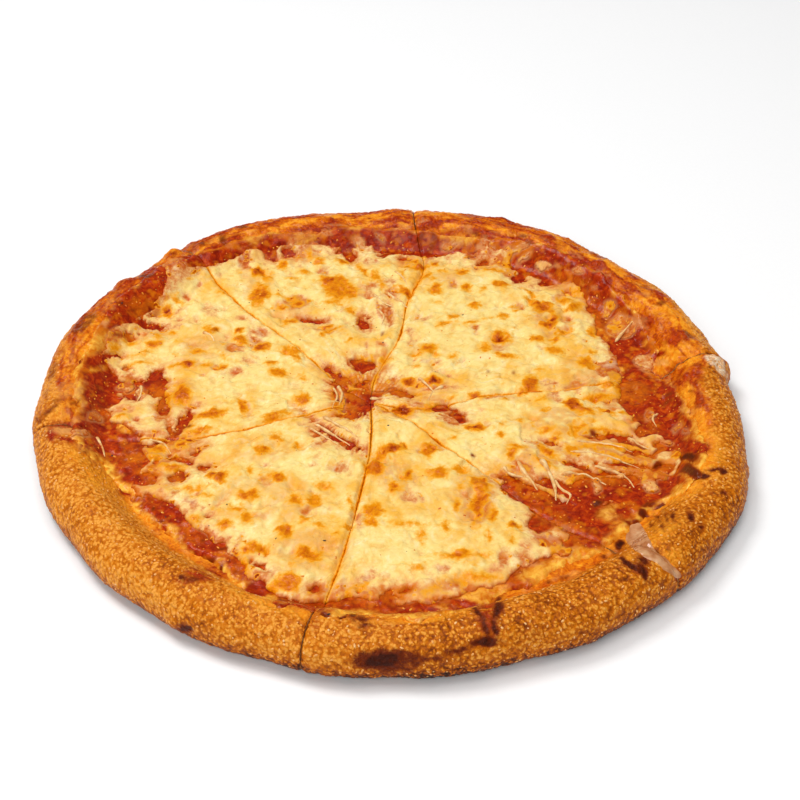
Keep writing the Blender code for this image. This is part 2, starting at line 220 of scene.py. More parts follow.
CLEAN = (
    # Pale cheese that neither oil nor heat has coloured, with how clean.
    (38, 52, 44, 60, 0, 1.0), (-95, 80, 16, 34, 20, 0.9), (-70, 14, 34, 16, 8, 0.9),
    (-36, 12, 22, 12, 0, 0.8), (12, -58, 26, 12, 0, 0.8), (50, -64, 10, 24, 30, 0.7),
    (-74, 66, 12, 22, -30, 0.8), (-14, -94, 18, 12, 0, 0.7), (8, -18, 12, 16, 0, 0.8),
    (40, -28, 18, 12, -40, 0.7), (6, 84, 10, 14, 0, 0.5), (24, 100, 20, 8, 0, 0.3),
    (-94, -2, 24, 8, 10, 0.7), (-70, -26, 12, 14, 0, 0.5), (20, -88, 24, 8, 0, 0.6),
)

BROWNED = (
    # Browned cheese, with how dark: 0.4 is golden, 0.7 orange, 1 red-brown.
    (-23, 85, 14, 22, 20, 0.55), (-28, 91, 6, 8, 40, 0.78), (-27, 84, 5, 10, 0, 0.7),
    (-18, 80, 6, 10, 30, 0.6), (-25, 74, 12, 5, 0, 0.5), (-61, 98, 8, 9, 0, 0.72),
    (-57, 93, 5, 8, 20, 0.5), (-60, 80, 8, 20, -8, 0.6), (-58, 79, 6, 8, 0, 0.72),
    (-102, 68, 6, 8, 20, 0.66), (-98, 76, 10, 4, -50, 0.5), (-105, 42, 9, 7, 10, 0.62),
    (-110, 36, 10, 4, 15, 0.52), (-116, 44, 7, 5, 10, 0.5), (-122, 39, 6, 8, 20, 0.45),
    (-104, 49, 4, 3, -40, 0.62), (-97, 52, 4, 3, 0, 0.6), (-81, 52, 7, 3.5, -40, 0.6),
    (-78, 52, 3, 3, 0, 0.75), (-67, 52, 4, 5, 0, 0.75), (-66, 45, 8, 5, -45, 0.66),
    (-56, 40, 8, 7, 30, 0.74), (-43, 35, 11, 8, -20, 0.5), (-41, 31, 5, 6, 0, 0.6),
    (-48, 20, 9, 7, -20, 0.58), (-51, 27, 6, 5, 0, 0.55), (-38, 19, 5, 4, 0, 0.45),
    (-37, 2, 9, 8, 20, 0.6), (-48, -9, 12, 5, 30, 0.62), (-89, 7, 9, 12, 20, 0.68),
    (-96, 6, 4, 14, 15, 0.66), (-114, -7, 7, 4, 0, 0.55), (-45, 60, 7, 5, 0, 0.62),
    (-46, 77, 3, 2.2, -20, 0.85), (-42, 73, 5, 2.4, -20, 0.9), (-48, 70, 4, 3, 0, 0.8),
    (-51, 79, 3, 2, 0, 0.75), (-37, 75, 3, 2, 0, 0.65), (-29, 55, 5, 2.4, 0, 0.88),
    (-26, 51, 7, 2.4, 35, 0.85), (-30, 48, 3, 2.4, 0, 0.8), (-17, 67, 5, 6, 0, 0.55),
    (-18, 44, 3, 2, 50, 0.75), (15, 101, 8, 7, 0, 0.7), (22, 104, 4, 5, 20, 0.85),
    (13, 107, 6, 5, 0, 0.66), (17, 93, 4, 12, -35, 0.55), (7, 94, 3, 10, 15, 0.52),
    (35, 97, 6, 8, 10, 0.66), (25, 97, 5, 3, 0, 0.5), (22, 83, 6, 9, 0, 0.6),
    (23, 72, 5, 3, 0, 0.45), (36, 83, 5, 6, 0, 0.7), (44, 82, 2.5, 5, -20, 0.66),
    (53, 86, 8, 8, 20, 0.58), (40, 69, 5, 3.5, -25, 0.7), (30, 61, 5, 5, -40, 0.5),
    (26, 55, 10, 5, 22, 0.5), (37, 56, 7, 2.6, 28, 0.7), (45, 59, 5, 2, 10, 0.5),
    (52, 61, 5, 6, -60, 0.55), (57, 68, 4, 3, 0, 0.5), (57, 51, 2.4, 2, -40, 0.55),
    (59, 65, 3, 2.4, 40, 0.7), (50, 44, 6, 9, 10, 0.82), (53, 45, 4, 8, 0, 0.68),
    (52, 31, 9, 3.5, -14, 0.68), (49, 33, 4, 2.5, -20, 0.8), (43, 38, 6, 8, 20, 0.48),
    (18, 37, 8, 6, 0, 0.66), (13, 34, 7, 3.5, 10, 0.58), (22, 34, 3, 6, 40, 0.6),
    (29, 30, 3, 6, 0, 0.52), (13, 25, 3, 3, 0, 0.45), (71, 68, 10, 8, 10, 0.66),
    (68, 70, 5, 4, 0, 0.78), (75, 64, 4, 8, 0, 0.6), (66, 73, 8, 3, -20, 0.6),
    (75, 58, 5, 5, 20, 0.85), (70, 53, 4, 4, 0, 0.82), (74, 54, 8, 5, 30, 0.75),
    (67, 43, 7, 4, 10, 0.66), (75, 43, 4, 3, 20, 0.7), (74, 35, 6, 8, 70, 0.5),
    (87, 26, 8, 9, 20, 0.56), (91, 33, 4, 4, 0, 0.6), (92, 49, 5, 8, 0, 0.55),
    (62, 12, 7, 12, -15, 0.66), (58, 7, 5, 5, 30, 0.66), (67, 21, 5, 4, 0, 0.48),
    (12, 7, 4, 3, 0, 0.5), (9, 14, 7, 4, -20, 0.85), (20, 14, 7, 4, 10, 0.95),
    (17, 12, 4, 2.4, 0, 0.9), (78, -3, 9, 9, 0, 0.76), (82, -7, 12, 5, -15, 0.66),
    (93, -8, 9, 4, -10, 0.58), (66, 1, 6, 3, 0, 0.5), (50, 1, 3, 2.2, 0, 0.85),
    (38, 4, 6, 5, 40, 0.75), (27, 4, 5, 2.4, 20, 0.6), (6, -4, 9, 7, -10, 0.85),
    (18, -3, 6, 10, -50, 0.6), (48, -16, 3, 4, 0, 0.52), (36, -17, 8, 6, -20, 0.78),
    (56, -13, 4, 3, 0, 0.52), (66, -19, 8, 4, 10, 0.62), (47, -22, 3, 3, 0, 0.75),
    (90, -19, 16, 3, -5, 0.6), (70, -24, 5, 4, 0, 0.7), (76, -31, 8, 7, -40, 0.55),
    (66, -32, 10, 4, -45, 0.72), (92, -29, 26, 2.6, -4, 0.7), (27, -24, 3, 2.6, 0, 0.6),
    (51, -34, 3, 6, -20, 0.86), (52, -30, 6, 2.2, 0, 0.75), (64, -40, 10, 5, -35, 0.62),
    (17, -31, 7, 9, 0, 0.62), (1, -31, 9, 6, 20, 0.78), (-4, -35, 8, 5, 50, 0.66),
    (-6, -43, 8, 8, 40, 0.66), (6, -29, 2.6, 4, 20, 0.85), (8, -47, 3, 7, -15, 0.78),
    (3, -53, 4, 3, 0, 0.85), (3, -56, 5, 6, 0, 0.6), (20, -46, 10, 6, 0, 0.6),
    (30, -44, 8, 5, -30, 0.55), (37, -53, 10, 10, 20, 0.6), (36, -62, 6, 14, -15, 0.72),
    (35, -68, 3, 8, 10, 0.85), (41, -71, 3, 8, 0, 0.78), (27, -65, 4, 8, 0, 0.6),
    (-6, -68, 9, 12, 0, 0.56), (-6, -75, 6, 6, 0, 0.6), (8, -76, 14, 3, -10, 0.56),
    (13, -82, 4, 10, 10, 0.5), (22, -78, 5, 10, 0, 0.55), (26, -93, 16, 5, 0, 0.62),
    (26, -94, 6, 3.5, 0, 0.72), (36, -93, 8, 3, 0, 0.55), (39, -83, 3, 5, 0, 0.66),
    (47, -85, 3, 5, 0, 0.5), (49, -77, 4, 4, 0, 0.75), (33, -104, 20, 5, 6, 0.5),
    (11, -99, 10, 4, 0, 0.42), (-52, -31, 7, 6, 0, 0.6), (-46, -23, 5, 8, 20, 0.55),
    (-38, -28, 4, 5, 0, 0.52), (-56, -43, 4, 5, 0, 0.52), (-45, -48, 7, 7, -30, 0.62),
    (-68, -47, 7, 8, 20, 0.66), (-72, -46, 3, 4, 0, 0.9), (-56, -58, 10, 7, -10, 0.64),
    (-54, -57, 4, 4, 0, 0.72), (-60, -66, 9, 4, -30, 0.55), (-37, -62, 5, 8, 20, 0.58),
    (-29, -62, 8, 8, 0, 0.54), (-26, -53, 8, 5, -20, 0.52), (-64, -74, 5, 6, 0, 0.66),
    (-56, -72, 8, 5, -30, 0.58), (-34, -72, 4, 4, 0, 0.6), (-40, -79, 8, 8, -20, 0.62),
    (-27, -77, 7, 4, -40, 0.52), (-20, -82, 4, 3.5, 0, 0.56), (-16, -77, 6, 3, 10, 0.6),
    (-15, -63, 3, 9, 5, 0.58), (-51, -88, 10, 6, 0, 0.64), (-55, -89, 5, 3.5, 0, 0.7),
    (-31, -91, 11, 9, -20, 0.6), (-29, -94, 5, 4, 0, 0.68), (-38, -106, 10, 9, 0, 0.62),
    (-43, -108, 6, 5, 0, 0.5), (-76, -71, 6, 3, -20, 0.66), (-56, -97, 6, 8, 20, 0.62),
    (-95, -28, 8, 4, 0, 0.66), (-86, -26, 5, 5, 0, 0.72), (-79, -17, 12, 3.5, 5, 0.7),
    (-96, -33, 6, 3, 0, 0.68), (-80, -53, 14, 3, 0, 0.52), (-74, -58, 10, 3, -10, 0.48),
    (-88, -40, 10, 5, 0, 0.6), (-76, -7, 16, 6, 12, 0.66), (-62, -2, 3, 10, 10, 0.8),
    (-85, 37, 7, 3, -20, 0.72), (-89, 28, 7, 4, -10, 0.85), (-74, 25, 4, 5, -20, 0.72),
    (-80, 26, 4, 5, 0, 0.52), (-92, 28, 8, 2, 15, 0.8), (-73, 32, 3, 6, 20, 0.55),
    (-110, 30, 12, 3, 10, 0.5), (-93, 92, 4, 3, 0, 0.5), (-76, 80, 6, 4, -40, 0.5),
    (-40, 98, 6, 4, 0, 0.5), (-45, 93, 8, 4, 0, 0.45), (-51, 106, 5, 10, 0, 0.6),
    (-22, 107, 8, 6, 0, 0.6), (-34, 108, 6, 8, 0, 0.5), (-38, 113, 4, 6, 0, 0.6),
    (100, -8, 6, 4, 0, 0.5), (102, 10, 12, 6, 30, 0.66), (90, 3, 14, 4, 15, 0.7),
    (96, 12, 8, 5, 0, 0.6), (85, 68, 12, 6, 30, 0.55), (88, 80, 6, 5, 0, 0.5),
    (82, 73, 8, 6, 0, 0.5), (60, 107, 14, 6, 60, 0.6), (50, 98, 12, 5, 0, 0.52),
    (66, 79, 10, 3, -50, 0.6), (78, 102, 3, 3, 0, 0.6), (-6, 94, 6, 10, 0, 0.5),
    (-12, 99, 4, 12, 20, 0.6), (-3, 87, 4, 10, 10, 0.5), (8, 80, 5, 12, 30, 0.7),
)

SOOT_AND_SHADE = (
    # Blackened places, with how dark, and two marks of painted shade.
    (-117, 95, 14, 4, 8, 0.66), (-122, 96, 6, 3, 30, 0.59), (-103, 113, 4, 6, -20, 0.33),
    (-139, 58, 18, 9, 65, 0.49), (-145, 51, 12, 5, 75, 0.4), (-81, 126, 5, 10, 15, 0.53),
    (-91, 123, 3.5, 6, 20, 0.53), (-72, 137, 5, 4, 0, 0.53), (-136, 31, 3, 5, 0, 0.53),
    (-147, 22, 4, 14, -4, 0.46), (-144, -4, 12, 4, 60, 0.53), (-147, 8, 3, 10, 0, 0.33),
    (-134, 1, 5, 3, 60, 0.46), (-142, 2, 5, 4, 0, 0.4), (-148, -10, 3, 6, 0, 0.46),
    (125, 70, 7, 4.5, 30, 0.49), (135, 45, 5, 8, 10, 0.49), (43, 129, 4, 5, 0, 0.46),
    (66, 126, 5, 4, 0, 0.49), (69, 121, 5, 4, 0, 0.4), (103, 106, 8, 4, -45, 0.53),
    (99, 111, 6, 3, -40, 0.53), (16, 126, 3, 10, -10, 0.46), (22, 127, 3, 10, 10, 0.43),
    # The marks at (137, 21) and (136, 12), at the edge of the right cut beside the torn crumb, are
    # painted shade.
    (21, 120, 3, 6, 0, 0.4), (120, 83, 4, 5, 0, 0.36), (137, 21, 8, 4, -45, 0.33),
    (136, 12, 12, 6, 90, 0.28), (121, 4, 2.4, 4, 0, 0.53), (120, 0, 3, 2.4, 0, 0.53),
    (123, -38, 8, 5, 20, 0.85), (123, -46, 7, 9, 20, 0.8), (127, -50, 5, 4, 0, 0.75),
    (133, -46, 7, 2.4, 0, 0.78), (136, -47, 3.4, 3.4, 0, 0.85), (133, -59, 2.2, 4, 20, 0.82),
    (130, -60, 3.4, 2.4, 0, 0.72), (101, -68, 5, 4, 30, 0.8), (96, -72, 6, 3, 0, 0.6),
    (88.5, -88.5, 3.8, 6.5, -10, 0.9), (83, -63, 3, 4, -30, 0.8), (118, -74, 2.3, 6, -25, 0.9),
    (122, -79.5, 2.2, 2.2, 0, 0.8), (112, -73, 2.0, 6, 0, 0.85), (106, -76, 2.0, 9, 20, 0.85),
    (109, -73, 1.9, 7, 5, 0.8), (103, -79, 2.0, 6, 20, 0.8), (110, -40, 3, 4, 0, 0.65),
    (104, -63, 5, 3, 20, 0.8), (108, -65, 4, 3, 0, 0.8), (91, -99, 16, 3.8, -52, 0.84),
    (96, -103, 12, 3.8, -75, 0.82), (88, -95, 6, 3, -45, 0.7), (97, -97, 4, 6, 20, 0.7),
    (33, -123, 2.8, 12, 14, 0.8), (35, -131, 3, 12, 0, 0.74), (40.5, -122, 3.4, 14, -14, 0.84),
    (38.5, -132, 3.4, 10, 8, 0.82), (35, -117, 8, 3, 0, 0.7), (35, -138, 12, 5, 6, 0.84),
    (25, -141, 12, 3, 28, 0.7), (14, -146, 14, 3.4, 15, 0.6), (66, -105, 6, 3, 10, 0.49),
    (60, -108, 1.6, 1.6, 0, 0.72), (6.5, -135.5, 1.4, 1.6, 0, 0.76), (0, -146, 27, 12, 0, 0.62),
    (-2, -146, 15, 8, 10, 0.9), (5, -144, 12, 6, 0, 0.66), (-1, -150, 16, 4, 0, 0.6),
    (54, -133, 16, 7, 20, 0.18), (82, -95, 3, 2, 0, 0.68), (80, -92, 6, 1.8, 0, 0.66),
    (87, -99, 2, 2, 0, 0.6), (-74, -130, 6, 4, -30, 0.8), (-77, -104, 4, 5, 30, 0.7),
    (-73, -105, 9, 3, 10, 0.55), (-17, -124, 4, 3, 0, 0.7), (-13, -124, 3, 3, 0, 0.68),
    (-10, -126, 8, 4, 0, 0.6), (-8, -129, 6, 3, 0, 0.68), (-24, -123, 4, 3, 0, 0.68),
    (-69, -91, 3, 2, 0, 0.72), (-64, -96, 2, 3, 0, 0.72), (-94, -62, 2.4, 1.6, 0, 0.74),
    (-90, -69, 2, 1.4, 0, 0.74), (-72, -81, 1.4, 1.4, 0, 0.72), (-65, -86, 3, 1.6, -20, 0.7),
    (-126, -31, 3, 6, 20, 0.4), (-122, 48, 3, 3, 0, 0.4), (85, -20, 1.4, 2.4, 0, 0.66),
    (-85, -13, 3, 3, 40, 0.53), (34.5, -35.5, 1.6, 1.6, 0, 0.63), (-78, 51.5, 2.4, 2.4, 0, 0.33),
    (100, -3, 1.5, 1.5, 0, 0.33), (-2.3, 48.5, 1.4, 2, 0, 0.53), (44, 20.5, 1, 2, 20, 0.4),
    (55, 19, 1, 1.6, -20, 0.46),
)

SMEARS = (
    # Red sauce carried on to the rim, with how strong.
    (-131, -12, 20, 3.6, 5, 1.0), (-141, -18, 3.6, 9, 0, 1.0), (-134, -25, 14, 3.4, -25, 1.0),
    (-124, -28, 5, 10, 25, 0.9), (-116, -11, 10, 5, 0, 0.9), (-68, -102, 22, 9, 8, 1.0),
    (-74, -104, 12, 7, 5, 1.0), (-124, 83, 16, 12, 60, 0.7), (-118, 82, 10, 8, 0, 0.6),
    (-112, 102, 8, 6, 0, 0.8), (-135, 67, 10, 5, 40, 0.6), (-127, 74, 16, 5, 10, 0.55),
    (-131, 20, 14, 10, 20, 0.65), (-147, 34, 4, 16, 0, 0.6), (-142, 44, 6, 8, 0, 0.4),
    (-130, 10, 10, 14, 0, 0.7), (-137, 26, 12, 5, 0, 0.6), (-136, 5, 10, 6, 20, 0.5),
    (-96, 118, 10, 8, 30, 0.9), (-88, 126, 8, 8, 0, 0.5), (-76, 128, 10, 10, 0, 0.6),
    (-58, 126, 10, 10, 0, 0.7), (-45, 133, 10, 8, 0, 0.8), (-23, 133, 8, 16, 10, 0.9),
    (-5, 130, 14, 12, 0, 0.8), (8, 126, 14, 16, 0, 0.9), (16, 135, 10, 12, 0, 0.8),
    (33, 131, 12, 8, 0, 0.6), (55, 120, 5, 14, 20, 0.7), (62, 128, 8, 8, 0, 0.5),
    (82, 118, 8, 8, 0, 0.7), (92, 100, 10, 12, 30, 0.6), (104, 88, 8, 12, 0, 0.6),
    (104, 70, 8, 12, 0, 0.8), (110, 60, 10, 14, 0, 0.55), (112, 82, 8, 8, 0, 0.4),
    (122, 58, 12, 10, 0, 0.4), (124, 42, 10, 10, 0, 0.45), (112, 26, 16, 8, 20, 0.7),
    (134, 20, 10, 6, 0, 0.6), (128, 14, 12, 10, 0, 0.5), (122, 10, 10, 12, 0, 0.85),
    (127, -34, 12, 8, 20, 0.8), (130, -31, 8, 10, 0, 0.6), (90, -92, 26, 6, -10, 0.35),
    (98, -66, 14, 6, 20, 0.7), (110, -58, 12, 6, 0, 0.7), (36, -130, 7, 16, 0, 1.0),
    (37, -120, 9, 8, 0, 0.9), (94, -101, 8, 6, -50, 0.5), (109, -105, 2.4, 8, -15, 0.7),
    (-8, -123, 26, 8, 0, 0.75), (-2, -128, 12, 5, 0, 0.5), (-27, -125, 4, 12, 0, 0.6),
    (10, -124, 16, 3, 6, 0.6), (50, -101, 12, 8, 20, 0.6), (58, -95, 16, 5, 10, 0.4),
    (-61, -93, 6, 5, 0, 0.5), (-68, -97, 8, 4, 0, 0.45), (-90, -78, 3, 6, 0, 0.7),
    (-106, -57, 8, 6, -50, 0.5), (-121, -38, 3, 8, 0, 0.5), (-129, -18, 26, 14, -8, 0.45),
    (119, -6, 18, 32, 0, 0.5), (-119, 48, 3, 3, 0, 0.4), (112, -20, 14, 8, 0, 0.6),
    (-146, -2, 5, 12, 0, 0.5),
)

FILMS = (
    # Pale melted film on the sauce and the rim, with how strong.
    (-132.5, -18.5, 15, 4.2, -13, 1.0), (-129, -20, 8, 3, -10, 0.9), (-103, 107, 8, 6, 30, 0.9),
    (-99, 104, 10, 5, -40, 0.8), (-107, 10, 3.5, 12, 0, 0.7), (-114, 14, 8, 6, 0, 0.6),
    (-123, 49, 5, 14, 10, 0.6), (-47, 123, 5, 10, 0, 0.5), (-36, 119, 6, 10, 0, 0.5),
    (-30, 133, 6, 10, 20, 0.5), (-14, 122, 6, 14, 20, 0.6), (-4, 127, 3, 10, 30, 0.6),
    (30, 119, 10, 5, 0, 0.5), (47, 122, 5, 12, 0, 0.6), (64, 116, 14, 6, 50, 0.7),
    (58, 113, 5, 12, 10, 0.7), (74, 101, 7, 7, 0, 0.9), (80, 101, 4, 5, 0, 0.5),
    (66, 108, 12, 4, 45, 0.6), (90, 97, 5, 6, 0, 0.7), (74, 84, 8, 4, 20, 0.7),
    (102, 67, 6, 12, -20, 0.5), (106, 54, 14, 16, 20, 0.5), (112, 56, 12, 8, 20, 0.4),
    (113, 30, 8, 10, 0, 0.6), (118, 25, 14, 6, 10, 0.6), (96, 82, 4, 4, 0, 0.4),
    (115, -35, 9, 7, 0, 0.95), (106, -52, 7, 10, 20, 0.9), (110, -46, 8, 5, 0, 0.6),
    (85, -52, 4, 9, -10, 0.75), (64, -86, 7, 9, -10, 1.0), (60, -84, 12, 5, 40, 0.8),
    (68, -89, 6, 5, 40, 0.7), (63, -78, 14, 3, 25, 0.6), (111, -8, 5, 8, 0, 0.6),
    (121, -18, 3, 6, -15, 0.5), (116, -26, 4, 4, 0, 0.6), (124, -22, 3, 5, 0, 0.5),
    (18, -111, 5, 7, 0, 0.9), (10, -113, 8, 5, 20, 0.6), (5, -115, 5, 3, 0, 0.6),
    (-4, 14, 8, 8, 0, 0.85), (1, 17, 6, 7, 0, 0.8), (-12, 19, 3, 3, 0, 0.5),
    (-20, 4, 3, 14, 10, 0.6), (0, 4, 10, 3, -20, 0.7), (105, -27, 10, 3, -40, 0.5),
    (-125, -8, 6, 8, 0, 0.5), (-134, 8, 5, 8, 0, 0.35), (-140, 10, 8, 14, 0, 0.35),
    (-61, -88, 5, 4, 0, 0.7), (-71, -76, 14, 3, -36, 0.85),
)

OIL_STAINS = (
    # Golden oil at the foot of the rim, with how strong.
    (-118, -45, 20, 10, -60, 0.9), (-112, -50, 14, 8, -40, 1.0), (-104, -63, 14, 4, -45, 0.9),
    (-96, -70, 14, 5, -45, 0.9), (-82, -83, 24, 6, -40, 1.0), (-68, -94, 16, 5, -20, 0.9),
    (-128, -32, 10, 10, -60, 0.8), (-138, 0, 14, 26, 0, 0.6), (-137, -8, 4, 10, 0, 0.9),
    (-130, 44, 8, 14, 0, 0.7), (-144, 40, 5, 8, 0, 0.6), (60, -100, 24, 8, 22, 1.0),
    (80, -90, 24, 8, 4, 0.9), (100, -86, 18, 10, 30, 0.8), (107, -80, 18, 8, 45, 0.9),
    (93, -94, 8, 6, -30, 0.9), (108, -96, 8, 8, 30, 0.8), (128, -48, 10, 6, 0, 0.9),
    (131, -12, 8, 24, 0, 0.8), (134, -35, 8, 24, 0, 0.6), (130, 2, 8, 14, 0, 0.8),
    (36, -110, 26, 6, 10, 0.7), (28, -119, 18, 2, 8, 0.9), (-30, -123, 10, 4, 0, 0.7),
    (88, -68, 10, 8, 20, 0.7), (84, 118, 14, 10, 0, 0.6), (108, 98, 16, 10, -40, 0.7),
    (116, 80, 14, 14, 0, 0.6), (35, 124, 12, 12, 0, 0.7), (96, 110, 12, 6, -40, 0.7),
    (127, 62, 12, 12, 0, 0.6), (132, 34, 8, 16, 0, 0.6), (-144, 36, 6, 10, 0, 0.6),
    (-120, 108, 20, 4, 45, 0.9), (-134, 80, 20, 5, 45, 0.7), (120, 26, 12, 6, 20, 0.7),
    (-40, 128, 12, 8, 0, 0.5), (-66, 127, 10, 10, 0, 0.6), (80, -62, 14, 8, 30, 0.6),
)

KNOBS = (
    # Blisters and peaks of the rim: x, y, z, radius, how far they stand out.
    (55.8, 133.2, 18.5, 3.2, 2.4),
    (102.0, 93.4, 18.0, 4.5, 1.5),
    (146.3, -46.3, 10.0, 4.0, 0.8),
    (-80.2, -126.2, 8.0, 4.0, 1.1),
    (-101.0, 106.0, 18.0, 3.0, 2.2),
    (-123.0, 82.0, 18.0, 5.0, 2.6),
    (-104.5, 104.0, 18.5, 3.5, 1.6),
)
TORN_SPOT = (141.5, 15.5, 15.0)

WET_EDGE = (
    # How far in from the rim's edge oil and sauce cover it, by bearing.
    (-180, 9), (-172, 13), (-163, 24), (-150, 29), (-60, 29), (-35, 27), (-22, 22), (-8, 15),
    (6, 11), (20, 8), (40, 4), (70, 2), (110, 1), (140, 3), (165, 5), (180, 9),
)
CHEESE_EDGE = (
    # Where the cheese ends, on the plan, anticlockwise from the right.
    (100, 0), (102, 14), (102, 26), (99, 38), (96, 50), (95, 62), (91, 72), (90, 82), (82, 88),
    (70, 93), (60, 101), (58, 112), (48, 116), (38, 114), (24, 113), (8, 116), (-6, 120),
    (-20, 119), (-34, 121), (-48, 120), (-60, 117), (-68, 118), (-74, 108), (-88, 103), (-100, 106),
    (-107, 108), (-107, 96), (-104, 84), (-106, 72), (-114, 62), (-123, 54), (-127, 44), (-126, 34),
    (-122, 26), (-116, 14), (-120, 2), (-120, -8), (-112, -13), (-102, -18), (-104, -28),
    (-100, -38), (-104, -50), (-98, -56), (-86, -59), (-80, -69), (-72, -76), (-65, -83),
    (-59, -92), (-52, -101), (-45, -106), (-41, -113), (-30, -116), (-18, -115), (-8, -112),
    (4, -115), (18, -115), (30, -112), (39, -107), (47, -101), (56, -94), (66, -90), (71, -80),
    (77, -68), (92, -60), (106, -55), (117, -47), (121, -37), (119, -28), (112, -20), (104, -12),
)
SAUCE_EDGE = (
    # Where the thick of the sauce ends, laid out the same way.
    (127, 0), (122, 14), (118, 26), (121, 36), (117, 48), (116, 60), (110, 74), (103, 88),
    (97, 102), (87, 114), (72, 122), (58, 126), (44, 127), (28, 130), (12, 136), (-4, 138),
    (-20, 140), (-36, 134), (-52, 134), (-66, 130), (-82, 122), (-98, 113), (-110, 106), (-116, 96),
    (-124, 84), (-131, 70), (-134, 56), (-134, 40), (-137, 26), (-136, 10), (-134, 0), (-134, -12),
    (-134, -20), (-126, -30), (-117, -37), (-110, -47), (-104, -55), (-97, -65), (-88, -74),
    (-80, -82), (-70, -90), (-60, -99), (-51, -111), (-40, -118), (-28, -122), (-14, -123),
    (0, -124), (12, -125), (22, -121), (32, -116), (42, -111), (52, -106), (60, -99), (70, -92),
    (84, -87), (96, -74), (106, -65), (116, -60), (123, -51), (129, -40), (132, -28), (129, -16),
)

STRANDS = (
    # Stretched cheese: width, then the points it runs through.
    (1.0, (47, -41), (49, -45), (53, -47), (57, -47)),
    (1.2, (53, -38), (55, -44), (58, -50), (60, -54)),
    (1.3, (62, -38), (65, -44), (67, -52), (67, -60)),
    (1.0, (67, -48), (70, -54), (73, -57), (71, -62)),
    (0.8, (70, -46), (76, -45), (82, -47), (88, -51)),
    (0.9, (84, -41), (92, -44), (97, -48), (99, -53)),
    (0.8, (100, -22), (104, -27), (108, -31)),
    (0.9, (102, 44), (106, 49), (111, 55)),
    (0.9, (-31, -12), (-24, -18), (-16, -25)),
    (0.7, (-33, -16), (-26, -22), (-19, -28)),
    (1.0, (-28, -8), (-20, -15), (-11, -24)),
    (0.7, (-100, -22), (-94, -24), (-90, -30)),
    (0.8, (-122, -21), (-119, -26), (-117, -32)),
    (0.8, (-84, 50), (-80, 48), (-78, 44)),
    (0.8, (-7, 80), (-3, 73), (3, 68)),
    (1.0, (-1, 82), (4, 75), (9, 69)),
    (0.7, (-5, 68), (-2, 62), (-3, 56)),
    (0.7, (3, 98), (7, 92), (9, 85)),
    (0.8, (13, 16), (17, 11), (20, 6)),
    (0.8, (24, 11), (20, 8), (17, 2)),
    (0.8, (-8, 6), (-1, 4), (6, 1)),
    (1.0, (-22, 14), (-20, 8), (-21, 0)),
    (0.7, (-24, 12), (-22, 6), (-24, -2)),
    (0.7, (75, -32), (86, -34), (96, -38), (103, -42)),
    (0.7, (78, -26), (90, -27), (101, -31)),
    (0.8, (-108, 16), (-107, 10), (-108, 3)),
    (0.7, (115, -6), (112, -10), (113, -15)),
)
DRIP = ((95.5, -79, 4.0), (96, -86, 4.8), (99, -92, 3.4), (104, -98, 2.6), (108.5, -105, 2.0))


# Shapes and noise.

def smooth_step(low, high, value):
    """0 at `low` and before it, 1 at `high` and beyond, with a soft start and end."""
    share = np.clip((value - low) / (high - low), 0.0, 1.0)
    return share * share * (3.0 - 2.0 * share)


def wave_sum(waves, angle):
    """Sum of sine waves, each given as count in a turn, phase and size."""
    return sum(size * np.sin(count * angle + phase) for count, phase, size in waves)


def turn_between(first, second):
    """The shorter way from one angle to another."""
    return (first - second + math.pi) % TURN - math.pi


def lattice(cells, seed):
    """A fixed random number from 0 to 1 for each whole-numbered cell."""
    mixed = np.full(cells[0].shape, (seed * 2654435761 + 97) & 0xFFFFFFFF, np.uint32)
    for cell, prime in zip(cells, (0x9E3779B1, 0x85EBCA77, 0xC2B2AE3D)):
        mixed = mixed ^ (cell.astype(np.int64).astype(np.uint32) * np.uint32(prime))
        mixed = (mixed ^ (mixed >> np.uint32(15))) * np.uint32(0x2C1B3C6D)
    mixed = (mixed ^ (mixed >> np.uint32(12))) * np.uint32(0x297A2D39)
    return (mixed ^ (mixed >> np.uint32(15))) / 4294967295.0


def noise(spots, size, seed):
    """Smooth noise from -1 to 1 whose lumps are `size` mm, on 2 or 3 axes."""
    turn = 1.7 * seed + 0.4
    first, second, *rest = spots
    spots = (
        first * math.cos(turn) - second * math.sin(turn),
        first * math.sin(turn) + second * math.cos(turn),
        *rest,
    )
    low = [np.floor(spot / size) for spot in spots]
    ease = [smooth_step(0.0, 1.0, spot / size - cell) for spot, cell in zip(spots, low)]
    total = 0.0
    for corner in itertools.product((0, 1), repeat=len(spots)):
        weight = 1.0
        for share, far in zip(ease, corner):
            weight = weight * (share if far else 1.0 - share)
        total = total + weight * lattice([c + far for c, far in zip(low, corner)], seed)
    return 2.0 * total - 1.0


def rough(spots, size, seed, octaves=3):
    """Noise of several sizes on top of each other, each half the last."""
    total = sum(
        noise(spots, size / 2**i, seed + 31 * i) / 2**i for i in range(octaves)
    )
    return total / 1.4


def from_hub(x, y, size, longer, seed):
    """Noise drawn out along the lines that run away from the hub."""
    across_x, across_y = x - HUB[0], y - HUB[1]
    run = np.hypot(across_x, across_y)
    around = 60.0 / np.maximum(run, 1.0)
    return rough((run / longer, across_x * around, across_y * around), size, seed)


def pebbles(spots, size, seed):
    """Rounded grains `size` mm apart: 1 in the middle of one, 0 between them."""
    cell = [np.floor(spot / size) for spot in spots]
    nearest = np.full(np.shape(spots[0]), 9.0)
    for shift in itertools.product((-1, 0, 1), repeat=3):
        around = [c + d for c, d in zip(cell, shift)]
        apart = sum(
            (c + lattice(around, seed + i) - spot / size) ** 2
            for i, (c, spot) in enumerate(zip(around, spots))
        )
        nearest = np.minimum(nearest, apart)
    return np.clip(1.0 - np.sqrt(nearest) / 0.85, 0.0, 1.0)


